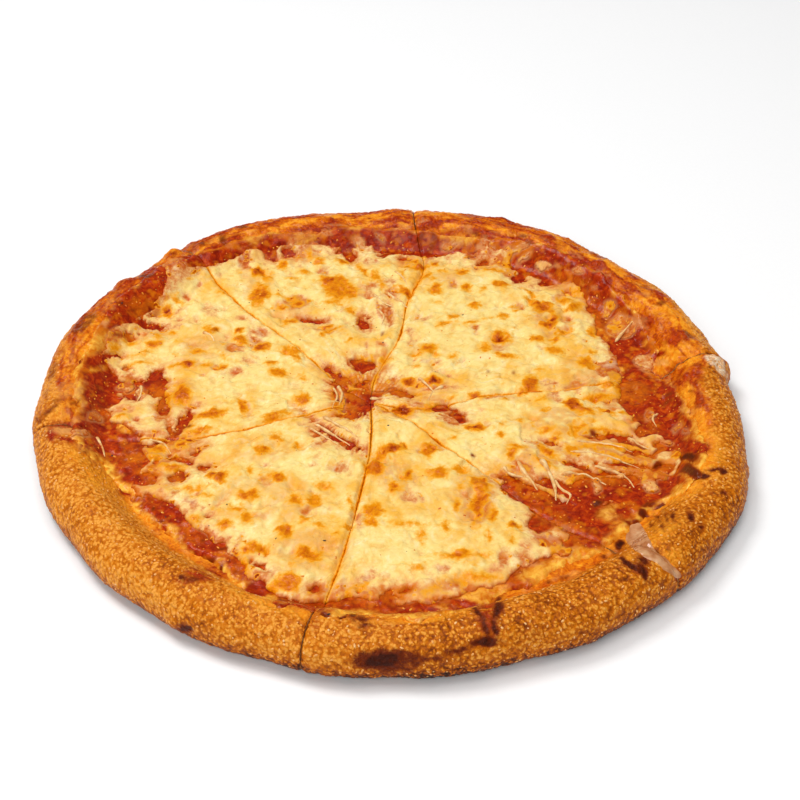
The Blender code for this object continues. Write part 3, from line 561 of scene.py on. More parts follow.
def marked(u, v, marks, soft):
    """How strongly any of the oval marks covers each spot; `soft` mm of edge."""
    cover = np.zeros(u.shape)
    for x, y, length, width, degrees, strength in marks:
        reach = 0.5 * max(length, width) + soft + 1.0
        near = (np.abs(u - x) < reach) & (np.abs(v - y) < reach)
        depth = depth_inside(u[near], v[near], x, y, length, width, degrees)
        cover[near] = np.maximum(cover[near], strength * smooth_step(-soft, soft, depth))
    return cover


def broken(cover, spots, seed):
    """A mark whose cover is patchy and frayed."""
    return cover * smooth_step(-1.5, -0.1, rough(spots, 2.2, seed) + 0.9 * (cover - 0.6))


def depth_inside(u, v, x, y, length, width, degrees):
    """How deep a spot is inside an oval, in mm; below 0 outside it."""
    turn = math.radians(degrees)
    along = (u - x) * math.cos(turn) + (v - y) * math.sin(turn)
    across = (v - y) * math.cos(turn) - (u - x) * math.sin(turn)
    share = np.hypot(along / (0.5 * length), across / (0.5 * width))
    return (1.0 - share) * 0.5 * min(length, width)


def depth_in_any(u, v, marks, reach):
    """How deep a spot is inside the nearest oval, down to -reach."""
    depth = np.full(u.shape, -reach)
    for x, y, length, width, degrees in marks:
        far = 0.5 * max(length, width) + reach
        near = (np.abs(u - x) < far) & (np.abs(v - y) < far)
        depth[near] = np.maximum(
            depth[near], depth_inside(u[near], v[near], x, y, length, width, degrees)
        )
    return depth


# The round's formulas.

def outline_radius(angle):
    """Radius of the pizza's edge, with the bump where the crust is torn."""
    share = 1.0
    for waves, cosine, sine in OUTLINE_WAVES:
        share = share + cosine * np.cos(waves * angle) + sine * np.sin(waves * angle)
    away = turn_between(angle, TORN_ANGLE) / TORN_SPREAD
    return RADIUS * share + TORN_REACH * np.exp(-away * away)


def beside_cut(x, y, cut):
    """How far along a cut a spot is, and how far to its left."""
    degrees, sways = cut
    bearing = math.radians(degrees)
    across_x, across_y = x - HUB[0], y - HUB[1]
    run = across_x * math.cos(bearing) + across_y * math.sin(bearing)
    left = across_y * math.cos(bearing) - across_x * math.sin(bearing)
    turn = math.pi * np.clip(run, 0.0, CUT_RUN) / CUT_RUN
    sway = sum(size * np.sin((n + 1) * turn) for n, size in enumerate(sways))
    return run, left - sway


def from_cuts(x, y):
    """Distance to the nearest cut."""
    nearest = np.full(np.shape(x), 99.0)
    for cut in CUTS:
        run, left = beside_cut(x, y, cut)
        away = np.where(run > 0.0, np.abs(left), np.hypot(run, left))
        nearest = np.minimum(nearest, away)
    return nearest


def cut_end(cut):
    """Angle about the centre at which a cut goes over the rim."""
    degrees, sways = cut
    bearing = math.radians(degrees)
    turn = math.pi * RIM_CROSSING / CUT_RUN
    sway = sum(size * math.sin((n + 1) * turn) for n, size in enumerate(sways))
    return math.atan2(
        HUB[1] + RIM_CROSSING * math.sin(bearing) + sway * math.cos(bearing),
        HUB[0] + RIM_CROSSING * math.cos(bearing) - sway * math.sin(bearing),
    )


def rim_share(angle):
    """Height of the rim as a share of RIM_HEIGHT; it is pinched at each cut."""
    back = 0.5 + 0.5 * np.sin(angle)
    share = 1.0 + (RIM_BACK_SHARE - 1.0) * back + wave_sum(RIM_LUMPS, angle)
    for cut in CUTS:
        away = turn_between(angle, cut_end(cut)) * RADIUS / PINCH_SPREAD
        share = share - PINCH_DEPTH / RIM_HEIGHT * np.exp(-away * away)
    return share


def through(knots, step):
    """A smooth row of points about `step` apart; the outer two knots only steer it."""
    rows = []
    for before, start, end, after in zip(knots, knots[1:], knots[2:], knots[3:]):
        for t in np.linspace(0.0, 1.0, max(2, int(np.hypot(*(end - start)[:2]) / step)), False):
            rows.append(0.5 * (
                2 * start + (end - before) * t
                + (2 * before - 5 * start + 4 * end - after) * t**2
                + (3 * start - before - 3 * end + after) * t**3
            ))
    return np.array([*rows, knots[-2]])


def section_curve():
    """The rim's section as a smooth row of (inset, height) points."""
    rows = through(np.array(RIM_SECTION), SECTION_STEP)
    rows[:, 1] = np.maximum(rows[:, 1], 0.0)
    return rows


SECTION = section_curve()


def rim_raise(inset, height, angle):
    """The height of a point of the section once the rim's lumps are on it."""
    on_rim = smooth_step(RIM_WIDTH, RIM_WIDTH - RIM_FADE, inset)
    upper = smooth_step(CRUST_FLOOR, RIM_HEIGHT, height)
    return height * (1.0 + (rim_share(angle) - 1.0) * upper * on_rim)


def crust_height(x, y):
    """Height of the crust's upper side, good from the middle to the crest."""
    angle = np.arctan2(y, x)
    inset = RADIUS - np.hypot(x, y) * RADIUS / outline_radius(angle)
    upper = SECTION[: np.argmin(SECTION[:, 0])]
    height = np.interp(inset, upper[::-1, 0], upper[::-1, 1])
    return rim_raise(inset, height, angle)


def laid_out(x, y, z):
    """Where a spot falls on the plan on which the marks were laid out, which
    keeps a mark's shape on the rim's slopes."""
    share = (EYE[2] - MARK_HEIGHT) / (EYE[2] - z)
    return EYE[0] + (x - EYE[0]) * share, EYE[1] + (y - EYE[1]) * share


def film_tints(angle, inset, height):
    """How the oily film over the rim varies, streaked along the rim: its lumps
    and streaks, and how red, how golden and how pale it is."""
    around = 70.0 + 0.0 * inset
    spots = (around * np.cos(angle), around * np.sin(angle), 2.0 * inset + 0.8 * height)
    lumps, streaks = rough(spots, 5.0, 44), rough(spots, 2.4, 45)
    fine = rough(spots, 1.6, 43)
    red = 0.9 * smooth_step(-0.02, 0.42, lumps + 0.45 * streaks + 0.25 * fine)
    golden = 0.9 * smooth_step(-0.02, -0.52, lumps - 0.5 * streaks + 0.3 * fine)
    pale = 0.7 * smooth_step(0.22, 0.70, rough(spots, 3.4, 46))
    return lumps, streaks, red, golden, pale


def within(u, v, edge):
    """How far inside an edge laid out on the plan a spot is."""
    points = np.array(edge, float)
    bearings = np.arctan2(points[:, 1], points[:, 0])
    reach = np.hypot(points[:, 0], points[:, 1])
    return np.interp(np.arctan2(v, u), bearings, reach, period=TURN) - np.hypot(u, v)


def shaken(u, v, size, amount, seed):
    """Spots moved about by noise, so that the edges of marks are ragged."""
    spots = (u, v)
    return (
        u + amount * rough(spots, size, seed),
        v + amount * rough(spots, size, seed + 1),
    )


# The layers on one plan.

# The plan's grid step in mm, its cells from the middle to a side, and the
# number of shreds of grated cheese.
STEP = 0.6
PLAN_CELLS = 244
SHREDS = 1500
SHRED_SEED = 11


def shred_relief(axis):
    """Height of grated cheese that has melted down, from 0 to 1."""
    random = np.random.default_rng(SHRED_SEED)
    relief = np.zeros((len(axis), len(axis)))
    for _ in range(SHREDS):
        x, y = random.uniform(-122.0, 122.0, 2)
        turn, half = random.uniform(0.0, math.pi), random.uniform(4.0, 11.0)
        width, bend = random.uniform(1.5, 3.2), random.uniform(-0.05, 0.05)
        reach = half + width
        columns = slice(*np.searchsorted(axis, (x - reach, x + reach)))
        rows = slice(*np.searchsorted(axis, (y - reach, y + reach)))
        across_x, across_y = np.meshgrid(axis[columns] - x, axis[rows] - y)
        along = across_x * math.cos(turn) + across_y * math.sin(turn)
        aside = across_y * math.cos(turn) - across_x * math.sin(turn) + bend * along**2
        beyond = np.maximum(np.abs(along) - half, 0.0)
        share = np.clip(1.0 - (aside**2 + beyond**2) / width**2, 0.0, 1.0)
        part = relief[rows, columns]
        np.maximum(part, np.sqrt(share) * random.uniform(0.55, 1.0), out=part)
    return relief


@functools.cache
def plan():
    """Every layer's height and colouring on one square grid, by name."""
    axis = np.arange(-PLAN_CELLS, PLAN_CELLS + 1) * STEP
    x, y = np.meshgrid(axis, axis)
    angle, radius = np.arctan2(y, x), np.hypot(x, y)
    outline = outline_radius(angle)
    inset = RADIUS - radius * RADIUS / outline
    bed = crust_height(x, y)
    spots = (x, y, 1.4 * bed)
    u, v = laid_out(x, y, np.maximum(bed + 1.5, MARK_HEIGHT))
    u, v = shaken(u, v, 5.0, 1.5, 1)
    cut = from_cuts(x, y)

    # The sauce: how far inside its edge a spot is, and how thick it lies.
    sauce_in = within(u, v, SAUCE_EDGE) + 1.6 * noise(spots, 11.0, 3) + 1.6 * rough(spots, 3.6, 4)
    wet = smooth_step(0.0, 4.0, sauce_in)
    sauce = SAUCE_THICK * (1.0 - np.exp(-np.maximum(sauce_in, 0.0) / 1.3))
    sauce += wet * (0.60 * rough(spots, 6.0, 5) + 0.28 * rough(spots, 2.4, 6, 2))
    sauce -= 0.5 * np.exp(-(cut / 1.2) ** 2)
    sauce = np.maximum(sauce, 0.0)

    # Where the cheese is: inside its edge, out of the pools and out of the holes.
    cheese_in = within(u, v, CHEESE_EDGE) + 1.2 * rough(spots, 4.0, 8)
    cheese_in += 2.4 * from_hub(x, y, 4.0, 2.5, 26)
    outer = smooth_step(22.0, 2.0, cheese_in)
    torn_edge = 0.9 * rough(spots, 2.2, 18) + 0.9 * from_hub(x, y, 2.2, 2.5, 19)
    pool = depth_in_any(u, v, POOLS, 9.0) + torn_edge
    holes = 1.00 - 0.50 * outer - rough(spots, 6.5, 27) - 0.25 * from_hub(x, y, 3.0, 2.5, 28)
    cheese_in = np.minimum(np.minimum(cheese_in, -pool), 9.0 * holes)
    film = marked(u, v, FILMS, 0.8)
    # A pale film in a pool is a thin skin of cheese.
    cheese_in = np.where(film > 0.45, np.maximum(cheese_in, 2.2 * (film - 0.45)), cheese_in)
    cheese_in = np.minimum(cheese_in, sauce_in - 0.5)

    # Where it lies thin, where it is soaked with oil, and how high it stands.
    depth = np.maximum(cheese_in, 0.0)
    fibres = from_hub(x, y, 2.4, 3.0, 20)
    oily = marked(u, v, OILY, 3.0) * smooth_step(-0.8, 0.0, fibres + 0.6 * rough(spots, 3.0, 21))
    thin = marked(u, v, [mark + (0.9,) for mark in THIN_PLACES], 2.5)
    thin = np.maximum(thin, 0.75 * smooth_step(0.20, 0.75, rough(spots, 10.0, 9)))
    thin = np.maximum(thin, outer * smooth_step(-0.35, 0.55, rough(spots, 6.0, 29)))
    thin = np.maximum(thin, 0.95 * np.exp(-depth / 3.0))
    thin = np.clip(thin * (0.85 + 0.5 * fibres) + 0.25 * np.exp(-depth / 6.0) * fibres, 0.0, 1.0)
    shoulder = np.sqrt(1.0 - (1.0 - np.clip(depth / 1.8, 0.0, 1.0)) ** 2)
    slope = smooth_step(0.0, 9.0, depth)
    clean = marked(u, v, CLEAN, 5.0)
    brown = marked(*shaken(u, v, 1.8, 0.9, 34), BROWNED, 2.6)
    relief = shred_relief(axis)
    lumps = 0.55 * noise(spots, 17.0, 10) + 0.35 * rough(spots, 8.0, 12)
    on_bank = smooth_step(7.5, 14.0, bed)
    slope = slope * (1.0 - 0.75 * on_bank)
    cheese = (1.3 - 0.6 * on_bank) * shoulder + (1.7 - 1.0 * thin) * slope
    cheese += slope * (lumps + 0.55 * (relief - 0.5) + 0.16 * rough(spots, 2.2, 13))
    pulled = smooth_step(-0.4, 0.5, rough(spots, 16.0, 61))
    drawn = pulled * (from_hub(x, y, 1.4, 4.0, 35) + 0.6 * from_hub(x, y, 2.6, 4.0, 39))
    drawn = drawn + (1.0 - pulled) * rough(spots, 2.4, 62)
    cheese += 0.13 * slope * drawn
    cheese += 0.18 * smooth_step(0.2, 0.7, brown) * slope
    pits = smooth_step(0.62, 0.80, noise(spots, 2.6, 14)) * smooth_step(0.2, 0.8, thin)
    cheese -= 0.8 * pits * slope
    cheese -= 1.1 * np.exp(-(cut / 1.3) ** 2) * slope
    cheese += 0.35 * np.exp(-((cut - 2.6) / 1.3) ** 2) * slope
    cheese = np.maximum(cheese, 0.0)

    # Its browning: the marks and a glow round them, freckles, pits and dots, and painted shade
    # along the cuts.
    speckle = rough(spots, 5.5, 15)
    glow = 0.62 * marked(u, v, BROWNED, 3.6)
    gold = 0.85 * smooth_step(-0.25, 0.70, rough(spots, 15.0, 22) + 0.5 * speckle)
    gold = np.maximum(glow, gold * (1.0 - 0.85 * clean))
    fine = rough(spots, 1.5, 16, 2)
    brown = brown * smooth_step(-1.8, -0.6, rough(spots, 2.0, 23)) + 0.09 * fine * (brown > 0.05)
    rich = np.clip(0.35 + 0.9 * marked(u, v, OILY, 5.0) - 0.8 * clean, 0.0, 1.0)
    freckles = rough(spots, 4.2, 38) + 0.5 * fibres
    brown = np.maximum(brown, 0.50 * rich * smooth_step(0.10, 0.75, speckle) + 0.06 * fine)
    brown = np.maximum(brown, 0.66 * rich * smooth_step(0.15, 0.80, freckles))
    # An orange line along each cut: painted shade in the groove the knife left.
    cut_groove_shade = 0.8 + 0.5 * noise(spots, 7.0, 24)
    brown = np.maximum(brown, 0.68 * cut_groove_shade * np.exp(-(cut / 0.75) ** 2))
    brown = np.maximum(brown, 0.75 * pits)
    see_through = np.clip(1.0 - cheese / 2.3, 0.0, 1.0)
    see_through = np.maximum(0.8 * see_through, 0.85 * thin)
    dots = smooth_step(0.60, 0.80, noise(spots, 1.9, 25)) * smooth_step(0.2, 0.6, see_through)
    brown = np.maximum(brown, 0.85 * dots)

    # The sauce's tints: oil has parted from it, film lies on it, it is burnt.
    *_, film_gold, film_pale = film_tints(angle, inset, bed)
    mess = smooth_step(-1.5, -4.5, pool) * smooth_step(-0.5, 0.3, rough(spots, 5.0, 30))
    mess = np.maximum(mess, smooth_step(7.0, 1.0, sauce_in) * smooth_step(1.0, -1.5, pool))
    orange = np.maximum(0.9 * mess, 0.75 * smooth_step(0.10, 0.55, rough(spots, 3.4, 31)))
    soot = broken(marked(u, v, SOOT_AND_SHADE, 1.2), spots, 32)
    border = smooth_step(0.0, -30.0, v) * smooth_step(5.5, 1.5, sauce_in)
    unpooled = smooth_step(1.0, -1.5, pool)
    stained = 0.85 * unpooled * marked(u, v, OIL_STAINS, 2.6)
    border = border * unpooled * smooth_step(-0.8, 0.2, rough(spots, 3.0, 33))
    oil_runs = smooth_step(-0.5, 0.2, rough(spots, 2.6, 36))
    orange = np.maximum(orange, 0.85 * marked(u, v, OILY, 3.0) * oil_runs)
    return {
        "axis": axis, "x": x, "y": y, "bed": bed, "cut": cut,
        "sauce_in": sauce_in, "sauce": sauce, "cheese_in": cheese_in, "cheese": cheese,
        "pool": pool, "brown": np.clip(brown, 0.0, 1.0), "thin": see_through, "gold": gold,
        "oily": oily, "fibre": 0.5 + 0.5 * np.clip(drawn, -1.0, 1.0),
        "orange": orange, "golden": np.maximum(mess * film_gold, np.maximum(border, stained)),
        "pale": np.maximum(mess * film_pale * (1.0 - border), film), "soot": soot,
    }


def plan_value(name, x, y):
    """A value of the plan at any spot, between its cells."""
    grid, axis = plan()[name], plan()["axis"]
    column = np.clip((np.asarray(x) - axis[0]) / STEP, 0, len(axis) - 1.001)
    row = np.clip((np.asarray(y) - axis[0]) / STEP, 0, len(axis) - 1.001)
    left, low = column.astype(int), row.astype(int)
    right_share, high_share = column - left, row - low
    return (
        grid[low, left] * (1 - right_share) * (1 - high_share)
        + grid[low, left + 1] * right_share * (1 - high_share)
        + grid[low + 1, left] * (1 - right_share) * high_share
        + grid[low + 1, left + 1] * right_share * high_share
    )


def top_height(x, y):
    """Height of whatever lies on top at a spot inside the rim."""
    return plan_value("bed", x, y) + plan_value("sauce", x, y) + plan_value("cheese", x, y)


# Triangle work.

def grid_faces(rows, columns, wrap=False):
    """Triangles of a grid of points, row by row."""
    row, column = np.meshgrid(np.arange(rows - 1), np.arange(columns - (not wrap)), indexing="ij")
    beside = (column + 1) % columns
    a, b = row * columns + column, row * columns + beside
    c, d = (row + 1) * columns + beside, (row + 1) * columns + column
    return np.concatenate([
        np.stack([a, b, c], -1).reshape(-1, 3), np.stack([a, c, d], -1).reshape(-1, 3)
    ])


def trim(points, values, faces, field):
    """The part of a triangle mesh where the field is above 0."""
    keep = field > 0.0
    count = keep[faces].sum(axis=1)
    whole, part = faces[count == 3], faces[(count == 1) | (count == 2)]
    inside = keep[part]
    lone = inside.sum(axis=1) == 1
    odd = np.where(lone, inside.argmax(axis=1), (~inside).argmax(axis=1))
    part = np.take_along_axis(part, (odd[:, None] + np.arange(3)) % 3, axis=1)
    a, b, c = part.T
    edges = np.concatenate([np.stack([a, b], 1), np.stack([a, c], 1)])
    edges.sort(axis=1)
    edges, place = np.unique(edges, axis=0, return_inverse=True)
    start, end = edges.T
    share = (field[start] / (field[start] - field[end]))[:, None]
    place = place.reshape(-1) + len(points)
    ab, ac = place[: len(a)], place[len(a):]
    points = np.concatenate([points, points[start] + (points[end] - points[start]) * share])
    values = np.concatenate([values, values[start] + (values[end] - values[start]) * share])
    faces = np.concatenate([
        whole,
        np.stack([a, ab, ac], 1)[lone],
        np.stack([ab, b, c], 1)[~lone],
        np.stack([ab, c, ac], 1)[~lone],
    ])
    used, faces = np.unique(faces, return_inverse=True)
    return points[used], values[used], faces.reshape(-1, 3)


def open_edges(faces):
    """The edges that only one triangle has, in that triangle's direction."""
    edges = np.concatenate([faces[:, [0, 1]], faces[:, [1, 2]], faces[:, [2, 0]]])
    low, high = edges.min(axis=1), edges.max(axis=1)
    _, index, count = np.unique(
        low * (edges.max() + 1) + high, return_index=True, return_counts=True
    )
    return edges[index[count == 1]]


def closed_between(top, bottom, faces):
    """A closed solid between the upper and the lower points of one sheet."""
    count = len(top)
    i, j = open_edges(faces).T
    sides = np.concatenate([
        np.stack([j, i, i + count], 1), np.stack([j, i + count, j + count], 1)
    ])
    return np.concatenate([top, bottom]), np.concatenate([faces, faces[:, ::-1] + count, sides])


def in_slice(points, values, faces, number, half_gap):
    """The part of a layer between a slice's two cuts; the last two columns of
    the values say what lies on the first and on the second cut."""
    for side, cut in ((1.0, CUTS[number]), (-1.0, CUTS[(number + 1) % len(CUTS)])):
        _, left = beside_cut(points[:, 0], points[:, 1], cut)
        points, values, faces = trim_and_tag(points, values, faces, side * left - half_gap, side)
    return points, values, faces


def trim_and_tag(points, values, faces, field, side):
    """Trim, and note in a tag column which points lie on the cut."""
    column = -2 if side > 0 else -1
    values = values.copy()
    values[:, column] = 0.0
    points = np.column_stack([points, field])
    points, values, faces = trim(points, values, faces, field)
    values[np.abs(points[:, 3]) < 1e-9, column] = 1.0
    return points[:, :3], values, faces


def cut_walls(points, values, faces, number):
    """Triangles that close a slice of the crust along its two cuts."""
    following = {i: j for i, j in open_edges(faces)}
    tags = values[:, -2:] > 0.5
    walls = []
    for column, cut in ((0, CUTS[number]), (1, CUTS[(number + 1) % len(CUTS)])):
        other = 1 - column
        # The chain starts and ends at the hub, where both cuts meet.
        starts = [i for i, j in following.items()
                  if tags[i, column] and tags[i, other] and tags[j, column] and not tags[j, other]]
        for start in starts:
            chain = [start]
            while True:
                chain.append(following[chain[-1]])
                if tags[chain[-1], 0] and tags[chain[-1], 1]:
                    break
            ring = np.array(chain[::-1])
            run, _ = beside_cut(points[ring, 0], points[ring, 1], cut)
            flat = [Vector((a, b, 0.0)) for a, b in zip(run, points[ring, 2])]
            area = sum(p.x * q.y - q.x * p.y for p, q in zip(flat, flat[1:] + flat[:1]))
            for a, b, c in geometry.tessellate_polygon([flat]):
                turn = (flat[b] - flat[a]).cross(flat[c] - flat[a]).z
                if abs(turn) > 0.0:
                    walls.append(ring[[a, b, c]] if turn * area > 0 else ring[[a, c, b]])
    return np.array(walls, int).reshape(-1, 3)


# Pieces and materials.

def linear(code):
    """A colour from its sRGB hex code, as linear values; other values stay."""
    if not (isinstance(code, str) and code.startswith("#")):
        return code
    parts = [int(code[i:i + 2], 16) / 255.0 for i in (1, 3, 5)]
    return (*(p / 12.92 if p <= 0.04045 else ((p + 0.055) / 1.055) ** 2.4 for p in parts), 1.0)


def make_piece(name, slot, points, faces, values, materials, kinds=None, flat_from=None):
    """A finished mesh piece in metres that rides on the pizza."""
    mesh = bpy.data.meshes.new(name)
    mesh.vertices.add(len(points))
    mesh.vertices.foreach_set("co", (np.asarray(points) * MM).astype(np.float32).ravel())
    mesh.loops.add(3 * len(faces))
    mesh.loops.foreach_set("vertex_index", faces.astype(np.int32).ravel())
    mesh.polygons.add(len(faces))
    mesh.polygons.foreach_set("loop_start", np.arange(0, 3 * len(faces), 3, dtype=np.int32))
    smooth = np.ones(len(faces), bool)
    if flat_from is not None:
        smooth[flat_from:] = False
    mesh.polygons.foreach_set("use_smooth", smooth)
    for material in materials:
        mesh.materials.append(material)
    if kinds is not None:
        mesh.polygons.foreach_set("material_index", kinds.astype(np.int32))
    for label, column in values.items():
        layer = mesh.attributes.new(label, "FLOAT", "POINT")
        layer.data.foreach_set("value", np.asarray(column, np.float32))
    mesh.update(calc_edges=True)
    mesh.validate()
    piece = bpy.data.objects.new(name, mesh)
    bpy.context.scene.collection.objects.link(piece)
    if slot:
        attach(piece, BODY)
    return piece


def add_node(tree, kind, inputs=None, ramp=None, **settings):
    """Add a node. An input takes a value, a colour's hex code, an output, or a
    node, which stands for its first output."""
    made = tree.nodes.new(kind)
    for name, value in settings.items():
        setattr(made, name, value)
    if ramp:
        stops = made.color_ramp.elements
        while len(stops) < len(ramp):
            stops.new(0.5)
        for stop, (place, colour) in zip(stops, ramp):
            stop.position = place
            stop.color = linear(colour)
    for name, value in (inputs or {}).items():
        if isinstance(value, bpy.types.Node):
            value = value.outputs[0]
        if isinstance(value, bpy.types.NodeSocket):
            tree.links.new(value, made.inputs[name])
        else:
            made.inputs[name].default_value = linear(value)
    return made


def new_material(name, carried=()):
    """An empty node material, its tree, its object coordinates, and what the
    mesh carries on its points, by name."""
    material = bpy.data.materials.new(name)
    material.use_nodes = True
    tree = material.node_tree
    tree.nodes.clear()
    place = add_node(tree, "ShaderNodeTexCoord").outputs["Object"]
    values = {
        label: add_node(tree, "ShaderNodeAttribute", attribute_name=label).outputs["Fac"]
        for label in carried
    }
    return material, tree, place, values


def shade(tree, colour, roughness, bump, height, **settings):
    """The surface shader and the output; bump is in metres."""
    relief = add_node(tree, "ShaderNodeBump", {"Height": height, "Distance": bump, "Strength": 1.0})
    surface = add_node(tree, "ShaderNodeBsdfPrincipled", {
        "Base Color": colour, "Roughness": roughness, "Normal": relief,
        **{name.replace("_", " "): value for name, value in settings.items()},
    })
    add_node(tree, "ShaderNodeOutputMaterial", {"Surface": surface})


def painted(tree, colour, *coats):
    """Lay coats over a colour, each after the share of it that shows."""
    for share, coat in coats:
        colour = add_node(
            tree, "ShaderNodeMix", {0: share, 6: colour, 7: coat}, data_type="RGBA",
        ).outputs[2]
    return colour


def per_mm(size):
    """Texture scale whose pattern repeats every `size` mm on metres."""
    return 1.0 / (size * MM)


@functools.cache
def crust_material():
    """Baked wheat dough, brushed with oil: the flour grains stand light on a
    browned skin, darker toward the base; where sauce and oil have run over it
    the skin is wet, orange and shiny. Real grains are a third of a millimetre
    and too fine to show, so they are drawn 1.5 mm apart."""
    material, tree, place, values = new_material("Baked wheat crust", CRUST_VALUES)
    colours = bpy.context.scene.pizza_crust
    fleck = add_node(tree, "ShaderNodeTexNoise", {
        "Vector": place, "Scale": per_mm(1.1), "Detail": 2.0, "Roughness": 0.6, "Distortion": 1.0,
    })
    mottle = add_node(tree, "ShaderNodeMapRange", {
        "Value": fleck, "From Min": 0.32, "From Max": 0.68, "To Min": 0.08, "To Max": -0.08,
    })
    # Darker in the crevices between the raised grains and paler on their tops: the grains' pale
    # flour, with painted shade in the crevices.
    crevice_shade = add_node(tree, "ShaderNodeMapRange", {
        "Value": values["grain"], "From Min": 0.10, "From Max": 0.70, "To Min": 0.16,
        "To Max": -0.12,
    })
    sway = add_node(tree, "ShaderNodeTexNoise", {"Vector": place, "Scale": per_mm(1.8)})
    bent = add_node(tree, "ShaderNodeVectorMath", {
        0: sway.outputs["Color"], 1: (1.9 * MM, 1.9 * MM, 1.9 * MM), 2: place,
    }, operation="MULTIPLY_ADD")
    seed = add_node(tree, "ShaderNodeTexVoronoi", {
        "Vector": bent, "Scale": per_mm(1.5),
    })
    # Paler at the middle of each grain, where the bump domes it, and darker toward its edge: the
    # grains' pale flour, with painted shade between them.
    kernel_shade = add_node(tree, "ShaderNodeMapRange", {
        "Value": seed, "From Min": 0.20, "From Max": 0.52, "To Min": -0.20, "To Max": 0.13,
    })
    speckled = add_node(tree, "ShaderNodeMath", {0: kernel_shade, 1: mottle}, operation="ADD")
    raised = add_node(tree, "ShaderNodeMath", {
        0: crevice_shade, 1: speckled,
    }, operation="ADD")
    tone = add_node(tree, "ShaderNodeMath", {
        0: values["bake"], 1: raised,
    }, operation="ADD")
    skin = add_node(tree, "ShaderNodeValToRGB", {"Fac": tone}, ramp=(
        (0.0, "#F8A848"), (0.22, tuple(colours.light)), (0.45, tuple(colours.brown)),
        (0.68, "#984600"), (0.86, "#5A2400"), (1.0, "#2E0E00"),
    ))
    marbling = add_node(tree, "ShaderNodeTexNoise", {
        "Vector": place, "Scale": per_mm(3.2), "Detail": 4.0, "Roughness": 0.65, "Distortion": 2.2,
    })
    oil_tone = add_node(tree, "ShaderNodeMapRange", {
        "Value": marbling, "From Min": 0.36, "From Max": 0.66,
    })
    orange, gold, red, crumb = (
        painted(tree, dark, (oil_tone, light)) for dark, light in (
            ("#B43E00", "#EE8004"), ("#EE8000", "#FFB22E"), ("#821200", "#BE3800"),
            ("#DC9650", "#FFEED0"),
        )
    )
    colour = painted(
        tree, skin, (values["wet"], orange), (values["golden"], gold), (values["red"], red),
        (values["film"], "#E2984E"), (values["torn"], crumb),
    )
    # The soot value also carries two marks of painted shade by the right cut.
    burnt_and_shade = add_node(tree, "ShaderNodeMath", {0: values["soot"], 1: mottle}, operation="ADD")
    char_and_shade = add_node(tree, "ShaderNodeValToRGB", {"Fac": burnt_and_shade}, ramp=(
        (0.10, "#A85008"), (0.40, "#863200"), (0.66, "#642000"),
        (0.90, "#3E1202"),
    ))
    cover = add_node(tree, "ShaderNodeMapRange", {
        "Value": burnt_and_shade, "From Min": 0.05, "From Max": 0.60,
    })
    colour = painted(tree, colour, (cover, char_and_shade))
    gloss = add_node(tree, "ShaderNodeMapRange", {
        "Value": values["wet"], "To Min": 0.45, "To Max": 0.30,
    })
    dome = add_node(tree, "ShaderNodeMapRange", {
        "Value": seed, "From Min": 0.0, "From Max": 0.7, "To Min": 1.0, "To Max": 0.0,
    })
    raise_dry = add_node(tree, "ShaderNodeMapRange", {
        "Value": values["wet"], "To Min": 1.0, "To Max": 0.35,
    })
    domes = add_node(tree, "ShaderNodeMath", {0: dome, 1: raise_dry}, operation="MULTIPLY")
    shade(tree, colour, gloss, 0.4 * MM, domes, Specular_IOR_Level=0.12)
    return material


def charred(tree, soot, colour):
    """Turn a colour brown, then near black, where soot lies on it."""
    scorched, black = (
        add_node(tree, "ShaderNodeMapRange", {"Value": soot, "From Min": low, "From Max": high})
        for low, high in ((0.0, 0.45), (0.35, 1.0))
    )
    return painted(
        tree, colour, (scorched, "#923400"),
        (black, "#300E04"),
    )


@functools.cache
def sauce_material():
    """Cooked tomato sauce: dark wet red pulp, orange where oil has parted from
    it, with a strong wet gloss."""
    material, tree, place, values = new_material("Cooked tomato sauce", SAUCE_VALUES)
    colours = bpy.context.scene.pizza_sauce
    pulp = add_node(tree, "ShaderNodeTexNoise", {
        "Vector": place, "Scale": per_mm(3.5), "Detail": 4.0, "Roughness": 0.65, "Distortion": 0.8,
    })
    colour = add_node(tree, "ShaderNodeValToRGB", {"Fac": pulp}, ramp=(
        (0.30, "#781400"), (0.46, tuple(colours.red)), (0.58, "#B63600"),
        (0.74, tuple(colours.oily)),
    ))
    parted = painted(tree, "#B03C00", (pulp, "#F08C08"))
    oil_tone = add_node(tree, "ShaderNodeMapRange", {
        "Value": pulp, "From Min": 0.36, "From Max": 0.64,
    })
    gold = painted(tree, "#E68000", (oil_tone, "#FFCC50"))
    colour = painted(
        tree, colour, (values["orange"], parted), (values["golden"], gold),
        (values["pale"], "#DE9C60"),
    )
    colour = charred(tree, values["soot"], colour)
    shade(tree, colour, 0.22, 0.28 * MM, pulp, Specular_IOR_Level=0.16)
    return material


